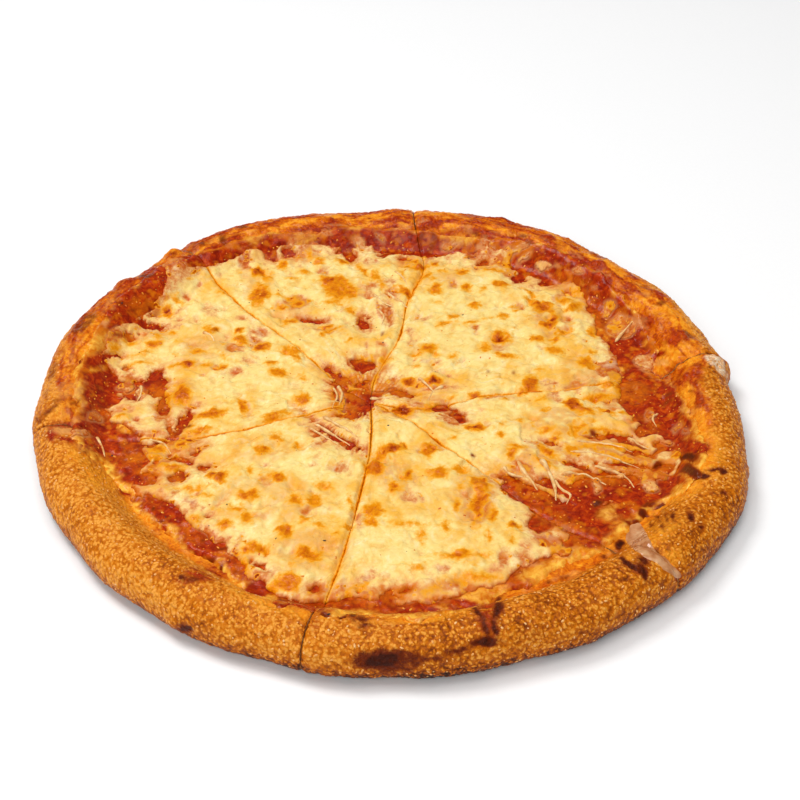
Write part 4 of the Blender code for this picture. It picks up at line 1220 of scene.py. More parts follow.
@functools.cache
def cheese_material():
    """Melted mozzarella: creamy yellow, soft and slightly shiny, pink where the
    sauce shows through it and golden to red-brown where it has blistered."""
    material, tree, place, values = new_material("Melted mozzarella", CHEESE_VALUES)
    colours = bpy.context.scene.pizza_cheese
    curd = add_node(tree, "ShaderNodeTexNoise", {
        "Vector": place, "Scale": per_mm(7.0), "Detail": 4.0, "Roughness": 0.6, "Distortion": 0.9,
    })
    speck = add_node(tree, "ShaderNodeTexNoise", {
        "Vector": place, "Scale": per_mm(1.6), "Detail": 2.0, "Roughness": 0.6, "Distortion": 0.6,
    })
    cream = add_node(tree, "ShaderNodeValToRGB", {"Fac": curd}, ramp=(
        (0.28, "#EEB858"), (0.44, tuple(colours.cream)), (0.60, "#FBE090"),
        (0.76, "#FFF0B4"),
    ))
    spotted = add_node(tree, "ShaderNodeMapRange", {
        "Value": speck, "From Min": 0.3, "From Max": 0.7, "To Min": -0.14, "To Max": 0.14,
    })
    richer = add_node(tree, "ShaderNodeMath", {0: values["gold"], 1: spotted}, operation="ADD")
    tinted = add_node(tree, "ShaderNodeMath", {0: values["thin"], 1: spotted}, operation="ADD")
    pink = add_node(tree, "ShaderNodeValToRGB", {"Fac": tinted}, ramp=(
        (0.20, "#F0C280"), (0.46, "#E2A062"), (0.72, "#CC6820"),
        (1.0, "#B03400"),
    ))
    see = add_node(tree, "ShaderNodeMapRange", {
        "Value": tinted, "From Min": 0.10, "From Max": 0.55,
    })
    # Darker in the grooves between the drawn fibres and paler on their ridges: painted shade and
    # painted highlight that follow the fibres' relief.
    fibre_groove_shade, fibre_ridge_light = (
        add_node(tree, "ShaderNodeMapRange", {
            "Value": values["fibre"], "From Min": low, "From Max": high, "To Max": most,
        }) for low, high, most in ((0.40, 0.05, 0.45), (0.60, 0.95, 0.40))
    )
    soaked = painted(tree, "#B43C00", (speck, "#FA9C10"))
    colour = painted(
        tree, cream, (richer, tuple(colours.golden)), (see, pink),
        (fibre_groove_shade, "#DE9C50"), (fibre_ridge_light, "#FFF0C0"),
        (values["oily"], soaked),
    )
    freckled = add_node(tree, "ShaderNodeMath", {0: spotted, 1: 0.6}, operation="MULTIPLY")
    # The browning carries the painted shade along the cuts as well.
    burnt_and_shade = add_node(tree, "ShaderNodeMath", {
        0: values["brown"], 1: freckled,
    }, operation="ADD")
    blister_and_shade = add_node(tree, "ShaderNodeValToRGB", {"Fac": burnt_and_shade}, ramp=(
        (0.12, "#F8C858"), (0.30, "#F4AC28"), (0.48, "#EA9004"),
        (0.66, "#D06800"), (0.82, "#A03400"), (1.0, "#5C1400"),
    ))
    heat_and_shade = add_node(tree, "ShaderNodeMapRange", {
        "Value": burnt_and_shade, "From Min": 0.10, "From Max": 0.42,
    })
    colour = charred(tree, values["soot"], painted(tree, colour, (heat_and_shade, blister_and_shade)))
    shade(tree, colour, 0.26, 0.3 * MM, speck, Specular_IOR_Level=0.12)
    return material


PLAIN_FINISHES = {
    # Each name: the size of its pattern in mm and how detailed that is, its
    # colours with their stops, its roughness, its bump in mm.
    #
    # The cut face of baked dough: a dull crumb with small pores, pale at its lightest; its browner
    # stops are painted shade, for it shows only deep in the narrow gaps of the cuts.
    "Wheat crumb": (
        2.2, {"Detail": 3.0, "Roughness": 0.6},
        ((0.35, "#B46E2C"), (0.55, "#DCA260"), (0.75, "#F2D2A0")), 0.8, 0.5, {},
    ),
    # Mozzarella pulled into threads: paler and a little glassy.
    "Stretched mozzarella": (
        2.5, {"Detail": 2.0}, ((0.30, "#DC9850"), (0.55, "#F0C684"), (0.75, "#F8DCA4")),
        0.22, 0.1, {"Specular_IOR_Level": 0.25},
    ),
    # A thin skin of oil and whey that ran over the rim: greyish pink, wet.
    "Dried whey film": (
        4.0, {"Detail": 3.0}, ((0.30, "#AC6430"), (0.55, "#CC9060"), (0.75, "#DCAC7C")),
        0.20, 0.1, {},
    ),
    # Dried oregano and ground pepper: dull flakes, near black.
    "Dried oregano and pepper": (
        1.0, {"Detail": 1.0}, ((0.35, "#1E0E06"), (0.60, "#4A2810"), (0.75, "#5A3A18")),
        0.65, 0.1, {},
    ),
    # Beads of olive oil: amber, smooth as glass.
    "Olive oil beads": (
        3.0, {"Detail": 1.0}, ((0.35, "#D06008"), (0.60, "#EC9420"), (0.75, "#F8B840")),
        0.06, 0.02, {},
    ),
    # Semolina grains baked on to the crust: dull pale gold.
    "Toasted semolina": (
        2.0, {"Detail": 1.0}, ((0.30, "#D8862C"), (0.55, "#F2B060"), (0.75, "#FCD090")),
        0.45, 0.05, {},
    ),
}


@functools.cache
def plain_material(name):
    """A material of one pattern, from the list of plain finishes."""
    size, pattern, stops, roughness, bump, sheen = PLAIN_FINISHES[name]
    material, tree, place, _ = new_material(name)
    tint = add_node(tree, "ShaderNodeTexNoise", {
        "Vector": place, "Scale": per_mm(size), **pattern,
    })
    colour = add_node(tree, "ShaderNodeValToRGB", {"Fac": tint}, ramp=stops)
    shade(tree, colour, roughness, bump * MM, tint, **sheen)
    return material


# The crust.

# Points round the rim; the radii of the rings inside it on the floor and on the
# underside; and how many points of the rim one point of the first ring serves.
COLUMNS = 1560
FLOOR_RINGS = (105.0, 93.0, 81.0, 69.0, 57.0, 45.0, 33.0, 21.0, 10.0)
UNDER_RINGS = (126.0, 112.0, 98.0, 84.0, 70.0, 56.0, 42.0, 28.0, 12.0)
RING_SHARE = 6

# What the crust carries on its points, and that of the dough nobody sees.
CRUST_VALUES = ("bake", "wet", "golden", "red", "film", "torn", "soot", "grain")
PLAIN_DOUGH = [[0.4, 0, 0, 0, 0, 0, 0, 0.5]]

# The bearing toward which the rim is coloured darkest.
BROWNEST = math.radians(-55.0)


def crust_rows():
    """The section at even steps: how far in from the edge, and the height."""
    length = np.concatenate([[0.0], np.cumsum(np.hypot(*np.diff(SECTION, axis=0).T))])
    even = np.linspace(0.0, length[-1], int(length[-1] / STEP) + 1)
    return np.column_stack([np.interp(even, length, part) for part in SECTION.T])


def outward(x, y, z):
    """Unit normals of a grid that closes round in its columns."""
    grids = np.stack([x, y, z], -1)
    round_way = np.roll(grids, -1, axis=1) - np.roll(grids, 1, axis=1)
    down_way = np.gradient(grids, axis=0)
    normal = np.cross(down_way, round_way)
    return normal / np.maximum(np.linalg.norm(normal, axis=-1, keepdims=True), 1e-9)


@functools.cache
def crust_round():
    """The whole crust as one closed mesh, with its colouring."""
    rows = crust_rows()
    angle = np.linspace(-math.pi, math.pi, COLUMNS, False)[None, :]
    inset, flat_height = rows[:, :1], rows[:, 1:]
    height = rim_raise(inset, flat_height, angle)
    outer = smooth_step(RIM_UNDERCUT, 0.0, inset)
    radius = (RADIUS - inset) * outline_radius(angle) / RADIUS + wave_sum(RIM_SWELLS, angle) * outer
    x, y = radius * np.cos(angle), radius * np.sin(angle)
    normal = outward(x, y, height)
    crest = int(np.argmax(rows[:, 1]))
    outside = (np.arange(len(rows)) > crest)[:, None]
    # Inset that goes on below 0 down the outer side, so it tells the sides apart.
    reach = np.where(outside & (flat_height < WIDEST_AT), -inset, inset) + 0.0 * angle

    # Marks show only on the side that the camera sees.
    spots = (x, y, height)
    u, v = laid_out(x, y, height)
    u, v = shaken(u, v, 4.0, 1.3, 41)
    eye = np.stack([EYE[0] - x, EYE[1] - y, EYE[2] - height], -1)
    eye /= np.linalg.norm(eye, axis=-1, keepdims=True)
    facing = (eye * normal).sum(-1)
    seen = smooth_step(-0.05, 0.15, facing)
    square = smooth_step(0.10, 0.30, facing)

    # Sauce and oil over the rim: where it is wet, and its tints.
    wet_edge = np.interp(np.degrees(angle), *np.array(WET_EDGE).T) + 0.0 * height
    ragged = 2.4 * rough(spots, 9.0, 42) + 1.2 * rough(spots, 3.0, 43)
    wet = smooth_step(-1.2, 1.6, np.where(outside & (reach < 9), reach, inset) - wet_edge + ragged)
    past = -within(u, v, SAUCE_EDGE) + 0.8 * ragged
    wet = np.maximum(wet, seen * smooth_step(3.5, 0.5, past) * ~outside)
    lumps, streaks, red, golden, pale = film_tints(angle, inset, height)
    red = wet * red * smooth_step(8.0, 12.0, np.abs(past - 4.0) + 40.0 * (v > -10.0))
    red = np.maximum(red, seen * marked(u, v, SMEARS, 1.8) * smooth_step(-0.7, 0.3, streaks))
    red = np.maximum(red, seen * smooth_step(-1.0, 1.0, depth_in_any(u, v, POOLS, 3.0)))
    golden = np.maximum(wet * golden, 0.75 * seen * marked(u, v, OIL_STAINS, 2.6))
    # A golden band of oil just past the sauce's edge on the rim's inner slope at the front, made
    # stronger as painted light on the slope that faces away from the key lamp.
    front_oil_and_light = seen * smooth_step(8.0, 0.5, past) * (v < -10.0) * ~outside
    golden = np.maximum(golden, 0.85 * front_oil_and_light * smooth_step(-1.2, 0.1, streaks))
    dried = square * marked(u, v, FILMS, 1.2) * smooth_step(-0.8, 0.2, streaks)
    film = np.maximum(0.6 * wet * pale, dried)
    soot = square * broken(marked(u, v, SOOT_AND_SHADE, 1.5), spots, 32)
    soot = np.maximum(soot, wet * 0.4 * smooth_step(0.62, 0.85, rough(spots, 3.8, 47)))

    # The torn spot, and how dark the dough is coloured: its bake, with painted shade and painted
    # light added below.
    away = np.sqrt(sum((a - b) ** 2 for a, b in zip(spots, TORN_SPOT)))
    away = away + 1.9 * rough(spots, 5.0, 60) + 1.5 * rough(spots, 2.4, 48)
    torn = smooth_step(7.0, 4.6, away)
    singed = smooth_step(11.0, 7.5, away) * smooth_step(5.0, 7.0, away)
    # On the outer side the dough is darker from a little above the rim's widest point down to the
    # floor, darkest at its foot: painted shade where the rim tucks under.
    skirt = smooth_step(11.5, 2.5, flat_height) * outside
    base = smooth_step(1.6, 0.2, flat_height) * outside
    patches = 0.12 * rough(spots, 26.0, 49) + 0.10 * rough(spots, 8.0, 50)
    patches += 0.06 * rough(spots, 3.0, 51)
    patches += 0.15 * np.maximum(np.cos(angle - BROWNEST), 0.0) ** 3 - 0.03
    # Darker along the cuts: painted shade at the lips of the gaps between the slices.
    patches += 0.25 * np.exp(-(from_cuts(x, y) / 0.9) ** 2)
    bake = 0.31 + patches + 0.42 * skirt + 0.45 * base + 0.12 * singed
    # Lighter on the inner slope at the front, which faces away from the key lamp: painted light.
    bake -= 0.08 * smooth_step(9.0, 3.0, past) * (v < -10.0) * ~outside

    # Relief along the normals: grains, lumps, knobs, the torn crumb and the cuts.
    on_rim = smooth_step(33.0, 27.0, inset) * smooth_step(0.3, 2.0, flat_height + 30.0 * ~outside)
    bent = [spot + 0.5 * noise(spots, 2.5, 59 + i) for i, spot in enumerate(spots)]
    grain = np.zeros(x.shape)
    shown = inset[:, 0] < 32.0
    grain[shown] = pebbles([spot[shown] for spot in bent], 1.7, 54)
    push = 0.45 * rough(spots, 9.0, 52) + 0.20 * rough(spots, 3.4, 53)
    push += 0.50 * (1.0 - 0.55 * wet) * grain
    push += wet * (0.60 * rough(spots, 4.5, 55) + 0.42 * rough(spots, 1.8, 56))
    push += 0.6 * red * lumps
    for place_x, place_y, place_z, size, stands in KNOBS:
        apart = (x - place_x) ** 2 + (y - place_y) ** 2 + (height - place_z) ** 2
        push += stands * np.exp(-apart / size**2)
    push += torn * (1.1 * np.abs(noise(spots, 2.6, 57)) + 0.5 * noise(spots, 1.2, 58) - 0.3)
    push -= 0.35 * soot * smooth_step(0.4, 0.8, soot)
    push -= 0.8 * np.exp(-(from_cuts(x, y) / 0.9) ** 2)
    push = push * on_rim
    points = np.stack([x, y, height], -1) + normal * push[..., None]
    points[..., 2] = np.maximum(points[..., 2], 0.0)

    columns = [np.broadcast_to(value, x.shape) for value in (
        bake, wet, golden, red, film, torn, soot, grain,
    )]
    values = np.stack(columns, -1).reshape(-1, len(CRUST_VALUES))
    faces = grid_faces(len(rows), COLUMNS, wrap=True)[:, ::-1]
    return close_discs(points.reshape(-1, 3), values, faces, len(rows))


def close_discs(points, values, faces, rows):
    """Add the floor inside the rim and the underside to the rim's band."""
    for start, rings, level, up in (
        (0, FLOOR_RINGS, CRUST_FLOOR, True), ((rows - 1) * COLUMNS, UNDER_RINGS, 0.0, False),
    ):
        outer = np.arange(start, start + COLUMNS)
        for number, ring in enumerate((*rings, 0.0)):
            share = RING_SHARE if number == 0 else 1
            count = 1 if ring == 0.0 else len(outer) // share
            angle = np.linspace(-math.pi, math.pi, count, False)
            wide = ring * outline_radius(angle) / RADIUS
            first = len(points)
            added = np.column_stack([
                wide * np.cos(angle), wide * np.sin(angle), np.full(count, level)
            ])
            points = np.concatenate([points, added])
            values = np.concatenate([values, np.tile(PLAIN_DOUGH, (count, 1))])
            inner = np.arange(first, first + count)
            after = np.roll(outer, -1)
            near = inner[np.arange(len(outer)) // (len(outer) // count)]
            made = [np.stack([near, outer, after], 1)]
            if count > 1:
                last = after[share - 1::share]
                made.append(np.stack([inner, last, np.roll(inner, -1)], 1))
            made = np.concatenate(made)
            faces = np.concatenate([faces, made if up else made[:, ::-1]])
            outer = inner
    return points, values, faces


def make_crust():
    """Six slices of the crust, each closed along its two cuts."""
    points, values, faces = crust_round()
    values = np.column_stack([values, np.zeros((len(values), 2))])
    for number in range(len(CUTS)):
        sliced, colouring, sheet = in_slice(points, values, faces, number, CUT_HALF_GAP)
        walls = cut_walls(sliced, colouring, sheet, number)
        kinds = np.concatenate([np.zeros(len(sheet)), np.ones(len(walls))])
        piece = make_piece(
            f"Crust_slice_{number + 1}", "crust", sliced, np.concatenate([sheet, walls]),
            dict(zip(CRUST_VALUES, colouring.T)), (crust_material(), plain_material("Wheat crumb")),
            kinds, len(sheet),
        )
        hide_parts(f"crust_{number + 1}")


# The sauce and the cheese.

# How far a layer's edge sinks into what it lies on, and how far its underside
# is below that, in mm.
SINK = 0.12
SAUCE_UNDER = 0.35
CHEESE_UNDER = 0.60

# What the layers carry on their points.
SAUCE_VALUES = ("orange", "golden", "pale", "soot")
CHEESE_VALUES = ("brown", "thin", "gold", "oily", "soot", "fibre")


def make_layer(label, slot, top, under, inside, names, material):
    """Six slabs, one in each slice, of a layer that covers `inside` > 0."""
    data = plan()
    points = np.stack([data["x"], data["y"], top - SINK], -1).reshape(-1, 3)
    values = np.stack([
        under, *(data[name] for name in names), np.zeros_like(top), np.zeros_like(top)
    ], -1).reshape(-1, len(names) + 3)
    size = len(data["axis"])
    points, values, faces = trim(points, values, grid_faces(size, size), inside.ravel())
    for number in range(len(CUTS)):
        sliced, carried, sheet = in_slice(points, values, faces, number, TOPPING_HALF_GAP)
        below = np.column_stack([sliced[:, :2], carried[:, 0]])
        closed, solid = closed_between(sliced, below, sheet)
        twice = {name: np.tile(carried[:, i + 1], 2) for i, name in enumerate(names)}
        piece = make_piece(
            f"{label}_slice_{number + 1}", slot, closed, solid, twice, (material,)
        )
        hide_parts(f"{slot}_{number + 1}")


def make_sauce():
    """The sauce lies on the crust and comes up to its edge on the rim."""
    data = plan()
    make_layer(
        "Sauce", "sauce", data["bed"] + data["sauce"], data["bed"] - SAUCE_UNDER,
        data["sauce_in"], SAUCE_VALUES, sauce_material(),
    )


def make_cheese():
    """The cheese lies on the sauce and leaves its pools bare."""
    data = plan()
    sauce_top = data["bed"] + data["sauce"]
    make_layer(
        "Cheese", "cheese", sauce_top + data["cheese"], sauce_top - CHEESE_UNDER,
        data["cheese_in"], CHEESE_VALUES, cheese_material(),
    )


# What follows a path or lies scattered.

def node_group(name, inputs):
    """A geometry tree with named inputs; returns it and its two ends."""
    tree = bpy.data.node_groups.new(name, "GeometryNodeTree")
    tree.interface.new_socket("Geometry", in_out="INPUT", socket_type="NodeSocketGeometry")
    for label, (kind, default) in inputs.items():
        socket = tree.interface.new_socket(label, in_out="INPUT", socket_type=kind)
        if default is not None:
            socket.default_value = default
    tree.interface.new_socket("Geometry", in_out="OUTPUT", socket_type="NodeSocketGeometry")
    return tree, add_node(tree, "NodeGroupInput"), add_node(tree, "NodeGroupOutput")


def end_tree(tree, geometry, start, end):
    """Make copies real, smooth them, give them the material and hand them out."""
    whole = add_node(tree, "GeometryNodeRealizeInstances", {"Geometry": geometry})
    smooth = add_node(tree, "GeometryNodeSetShadeSmooth", {"Geometry": whole})
    finished = add_node(tree, "GeometryNodeSetMaterial", {
        "Geometry": smooth, "Material": start.outputs["Material"],
    })
    tree.links.new(finished.outputs["Geometry"], end.inputs["Geometry"])
    return tree


def grown(source, tree, settings, name):
    """Run a tree on a mesh object and keep only the result, as a piece."""
    modifier = source.modifiers.new(tree.name, "NODES")
    modifier.node_group = tree
    for item in tree.interface.items_tree:
        if item.in_out == "INPUT" and item.name in settings:
            modifier[item.identifier] = settings[item.name]
    graph = bpy.context.evaluated_depsgraph_get()
    mesh = bpy.data.meshes.new_from_object(source.evaluated_get(graph))
    source.modifiers.remove(modifier)
    bpy.data.objects.remove(source, do_unlink=True)
    if not mesh.polygons:
        raise RuntimeError(f"{name} came out empty")
    mesh.name = name
    piece = bpy.data.objects.new(name, mesh)
    bpy.context.scene.collection.objects.link(piece)
    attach(piece, BODY)


def strand_tree():
    """Tubes of each point's own width along the edges of a mesh."""
    tree, start, end = node_group("Strands", {
        "Sides": ("NodeSocketInt", 8), "Material": ("NodeSocketMaterial", None),
    })
    width = add_node(tree, "GeometryNodeInputNamedAttribute", {"Name": "width"}, data_type="FLOAT")
    curve = add_node(tree, "GeometryNodeMeshToCurve", {"Mesh": start.outputs["Geometry"]})
    ring = add_node(tree, "GeometryNodeCurvePrimitiveCircle", {
        "Resolution": start.outputs["Sides"], "Radius": 1.0,
    })
    tube = add_node(tree, "GeometryNodeCurveToMesh", {
        "Curve": curve, "Profile Curve": ring,
        "Scale": width.outputs["Attribute"], "Fill Caps": True,
    })
    return end_tree(tree, tube, start, end)


def spline(knots, step):
    """A smooth row of points through all of a few, about `step` apart."""
    knots = np.array(knots, float)
    return through(
        np.concatenate([[2 * knots[0] - knots[1]], knots, [2 * knots[-1] - knots[-2]]]), step
    )


# Threads: sides round, steps along, how deep they lie in what is under them and
# how thick they are, both in shares of the width that the list gives.
STRAND_SIDES = 8
STRAND_STEP = 0.8
STRAND_SINK = 0.25
STRAND_THICK = 1.1


def make_strands():
    """Threads of cheese pulled across the pools and the cuts."""
    points, edges, widths = [], [], []
    for width, *knots in STRANDS:
        row = spline(knots, STRAND_STEP)
        share = np.linspace(0.0, 1.0, len(row))
        body = (1.0 - 0.75 * share) * smooth_step(-0.02, 0.08, share)
        level = top_height(row[:, 0], row[:, 1])
        level = np.maximum(level, np.linspace(level[0], level[-1], len(row)))
        first = len(points)
        points += [(x, y, z - STRAND_SINK * width) for (x, y), z in zip(row, level)]
        sway = 0.9 + 0.2 * np.sin(9.0 * share + width * 40.0)
        widths += list(STRAND_THICK * width * body * sway)
        edges += [(first + i, first + i + 1) for i in range(len(row) - 1)]
    mesh = bpy.data.meshes.new("Strand_paths")
    mesh.from_pydata([Vector(p) * MM for p in points], edges, [])
    layer = mesh.attributes.new("width", "FLOAT", "POINT")
    layer.data.foreach_set("value", np.array(widths, np.float32) * MM)
    source = bpy.data.objects.new("Strand_paths", mesh)
    bpy.context.scene.collection.objects.link(source)
    grown(source, strand_tree(), {
        "Sides": STRAND_SIDES, "Material": plain_material("Stretched mozzarella"),
    }, "Cheese_strands")


# The whey film: where it can lie on the plan, how thick it is, how wide its
# edge is, and how deep its edge and its underside are in the crust.
WHEY_AREA = (84.0, 118.0, -116.0, -68.0)
WHEY_THICK = 0.55
WHEY_EDGE = 0.9
WHEY_SINK = 0.13
WHEY_UNDER = 0.35
LEAST_FACING = 0.15
FAR = 9.0


def make_drip():
    """The whey film: a thin skin that lies on the rim's outer slope."""
    path = spline(DRIP, STEP)
    points, _, faces = crust_round()
    u, v = laid_out(*points.T)
    normal = np.zeros_like(points)
    corner = points[faces]
    face_normal = np.cross(corner[:, 1] - corner[:, 0], corner[:, 2] - corner[:, 0])
    for i in range(3):
        np.add.at(normal, faces[:, i], face_normal)
    normal /= np.maximum(np.linalg.norm(normal, axis=1, keepdims=True), 1e-9)
    sight = np.array(EYE) - points
    upward = (sight * normal).sum(1) > LEAST_FACING * np.linalg.norm(sight, axis=1)
    left, right, low, high = WHEY_AREA
    near = (u > left) & (u < right) & (v > low) & (v < high) & upward
    depth = np.full(len(points), -FAR)
    spots_u, spots_v = shaken(u[near], v[near], 4.0, 0.8, 71)
    inside = np.full(near.sum(), -FAR)
    for x, y, half in path:
        inside = np.maximum(inside, half - np.hypot(spots_u - x, spots_v - y))
    depth[near] = inside
    carried = np.column_stack([depth, normal])
    patch, carried, sheet = trim(points, carried, faces, depth)
    depth, normal = np.maximum(carried[:, :1], 0.0), carried[:, 1:]
    skin = patch + normal * (WHEY_THICK * (1.0 - np.exp(-depth / WHEY_EDGE)) - WHEY_SINK)
    under = patch - normal * WHEY_UNDER
    under[:, 2] = np.maximum(under[:, 2], 0.0)
    film, solid = closed_between(skin, under, sheet)
    make_piece("Whey_film", "cheese", film, solid, {}, (plain_material("Dried whey film"),))


def scatter_tree(name, squash):
    """Small lumps strewn over a surface where its `strew` value allows."""
    tree, start, end = node_group(name, {
        "Spacing": ("NodeSocketFloat", 0.003), "Density": ("NodeSocketFloat", 1000.0),
        "Smallest": ("NodeSocketFloat", 0.0004), "Largest": ("NodeSocketFloat", 0.001),
        "Seed": ("NodeSocketInt", 1), "Material": ("NodeSocketMaterial", None),
    })
    strew = add_node(tree, "GeometryNodeInputNamedAttribute", {"Name": "strew"}, data_type="FLOAT")
    spread = add_node(tree, "GeometryNodeDistributePointsOnFaces", {
        "Mesh": start.outputs["Geometry"], "Distance Min": start.outputs["Spacing"],
        "Density Max": start.outputs["Density"], "Density Factor": strew.outputs["Attribute"],
        "Seed": start.outputs["Seed"],
    }, distribute_method="POISSON")
    lump = add_node(tree, "GeometryNodeMeshIcoSphere", {"Radius": 1.0, "Subdivisions": 2})
    size = add_node(tree, "FunctionNodeRandomValue", {
        2: start.outputs["Smallest"], 3: start.outputs["Largest"], "Seed": start.outputs["Seed"],
    }, data_type="FLOAT")
    long_way = add_node(tree, "FunctionNodeRandomValue", {2: 0.7, 3: 1.7, "Seed": 5},
                        data_type="FLOAT")
    shape = add_node(tree, "ShaderNodeCombineXYZ", {
        "X": long_way.outputs[1], "Y": 0.8, "Z": squash,
    })
    scale = add_node(tree, "ShaderNodeVectorMath", {
        0: shape, "Scale": size.outputs[1],
    }, operation="SCALE")
    spin = add_node(tree, "FunctionNodeRandomValue", {2: 0.0, 3: TURN, "Seed": 9},
                    data_type="FLOAT")
    turned = add_node(tree, "FunctionNodeRotateRotation", {
        "Rotation": spread.outputs["Rotation"],
    }, rotation_space="LOCAL")
    axis_turn = add_node(tree, "FunctionNodeAxisAngleToRotation", {
        "Axis": (0.0, 0.0, 1.0), "Angle": spin.outputs[1],
    })
    tree.links.new(axis_turn.outputs["Rotation"], turned.inputs["Rotate By"])
    strewn = add_node(tree, "GeometryNodeInstanceOnPoints", {
        "Points": spread, "Instance": lump,
        "Rotation": turned, "Scale": scale,
    })
    return end_tree(tree, strewn, start, end)


# The share of the beads that is on the cheese too, and the radius from which
# the crust has semolina.
OIL_ON_CHEESE = 0.05
SEMOLINA_FROM = 118.0


def top_sheet(strew):
    """The top of the sauce and the cheese as one loose sheet to strew on."""
    data = plan()
    top = data["bed"] + data["sauce"] + data["cheese"]
    points = np.stack([data["x"], data["y"], top - SINK], -1).reshape(-1, 3)
    size = len(data["axis"])
    points, values, faces = trim(
        points, strew.reshape(-1, 1), grid_faces(size, size), data["sauce_in"].ravel() - 1.0
    )
    return make_piece("Strewn_sheet", None, points, faces, {"strew": values[:, 0]}, ())


def strew_over(sheet, name, material, squash, spacing, density, sizes, seed):
    """Strew lumps over a sheet as one piece; lengths in mm, density in a square metre."""
    grown(sheet, scatter_tree(name, squash), {
        "Spacing": spacing * MM, "Density": density, "Smallest": sizes[0] * MM,
        "Largest": sizes[1] * MM, "Seed": seed, "Material": plain_material(material),
    }, name)


def make_pepper():
    """Flecks of pepper and herb, thicker on the bare sauce than on the cheese."""
    data = plan()
    strew = smooth_step(2.0, 4.0, data["cut"]) * (0.35 + 0.65 * smooth_step(0.0, 1.5, data["pool"]))
    strew_over(
        top_sheet(strew), "Pepper_flecks", "Dried oregano and pepper", 0.4, 4.0,
        bpy.context.scene.pizza_sprinkles.pepper_density, (0.20, 0.50), 3,
    )


def make_oil():
    """Beads of oil that stand on the bare sauce."""
    data = plan()
    bare = smooth_step(-0.5, 1.0, data["pool"]) * smooth_step(1.5, 3.0, data["cut"])
    strew_over(
        top_sheet(np.clip(bare + OIL_ON_CHEESE, 0.0, 1.0)), "Oil_beads",
        "Olive oil beads", 0.45, 1.6, bpy.context.scene.pizza_sprinkles.oil_density,
        (0.20, 0.55), 8,
    )


def make_semolina():
    """Grains of semolina on the dry skin of the rim."""
    points, values, faces = crust_round()
    x, y, height = points.T
    wet, soot = (values[:, CRUST_VALUES.index(name)] for name in ("wet", "soot"))
    strew = (1.0 - wet) * (soot < 0.2) * smooth_step(3.0, 8.0, height)
    strew = strew * (np.hypot(x, y) > SEMOLINA_FROM) * smooth_step(1.0, 2.0, from_cuts(x, y))
    strew_over(
        make_piece("Strewn_sheet", None, points, faces, {"strew": strew}, ()),
        "Semolina_grains", "Toasted semolina", 0.5, 1.1,
        bpy.context.scene.pizza_sprinkles.semolina_density, (0.25, 0.55), 12,
    )


# Floor, light and camera.

LAMPS = (
    # Name, place, width, and which setting holds the power.
    ("Key", (-0.62, 0.40, 1.40), 0.6, "key_power"),
    ("Front_fill", (-0.3, -1.1, 1.0), 0.8, "fill_power"),
    ("Top_fill", (0.15, -0.1, 1.6), 1.2, "top_power"),
)


def make_lamp(name, place, width, power):
    """A round lamp that faces the middle of the pizza."""
    lamp = bpy.data.lights.new(name, "AREA")
    lamp.energy = power
    lamp.shape = "DISK"
    lamp.size = width
    obj = bpy.data.objects.new(name, lamp)
    obj.location = place
    obj.rotation_euler = (-Vector(place)).to_track_quat("-Z", "Y").to_euler()
    bpy.context.scene.collection.objects.link(obj)


def make_stage():
    """A white floor, light from all round, three lamps and the camera."""
    scene = bpy.context.scene
    settings = scene.pizza_stage
    half = settings.floor_size / 2
    mesh = bpy.data.meshes.new("Floor")
    mesh.from_pydata([(-half, -half, 0), (half, -half, 0), (half, half, 0), (-half, half, 0)],
                     [], [(0, 1, 2, 3)])
    # Matt white card: its faint fibres keep the white from looking empty.
    material, tree, place, _ = new_material("White card")
    fibre = add_node(tree, "ShaderNodeTexNoise", {"Vector": place, "Scale": per_mm(2.0)})
    colour = painted(tree, "#FCFCFC", (fibre, "#FFFFFF"))
    shade(tree, colour, 0.9, 0.01 * MM, fibre, Specular_IOR_Level=0.2)
    mesh.materials.append(material)
    floor = bpy.data.objects.new("Floor", mesh)
    scene.collection.objects.link(floor)

    world = bpy.data.worlds.new("Studio")
    world.use_nodes = True
    sky = world.node_tree.nodes["Background"]
    sky.inputs["Color"].default_value = (1.0, 1.0, 1.0, 1.0)
    sky.inputs["Strength"].default_value = settings.surround
    scene.world = world
    for name, place, width, power in LAMPS:
        make_lamp(name, place, width, getattr(settings, power))

    camera = bpy.data.cameras.new("Camera")
    camera.sensor_width = 36.0
    camera.lens = LENS
    camera.clip_start, camera.clip_end = 0.01, 20.0
    obj = bpy.data.objects.new("Camera", camera)
    right, up, forward = (Vector(axis) for axis in EYE_AXES)
    turned = Matrix((right, up, -forward)).transposed()
    obj.matrix_world = Matrix.Translation(Vector(EYE) * MM) @ turned.to_4x4()
    scene.collection.objects.link(obj)
    scene.camera = obj
    scene.view_settings.view_transform = "Standard"


# What a user may change.

def colour_setting(name, description, code):
    """A colour that a user may change, from its sRGB hex code."""
    return bpy.props.FloatVectorProperty(
        name=name, description=description, subtype="COLOR", size=4, min=0.0, max=1.0,
        default=linear(code),
    )


class PIZZA_PG_crust(bpy.types.PropertyGroup):
    light: colour_setting("Light skin", "Colour of the flour grains on the crust", "#F0A038")
    brown: colour_setting("Brown skin", "Colour of the baked skin between them", "#D07000")


class PIZZA_PG_sauce(bpy.types.PropertyGroup):
    red: colour_setting("Sauce", "Colour of the cooked tomato", "#982200")
    oily: colour_setting("Oily sauce", "Colour where oil has parted from the sauce", "#D45804")


class PIZZA_PG_cheese(bpy.types.PropertyGroup):
    cream: colour_setting("Cream", "Colour of the melted cheese", "#F8D780")
    golden: colour_setting("Golden", "Colour of cheese the heat has turned yellow", "#F6AE2A")


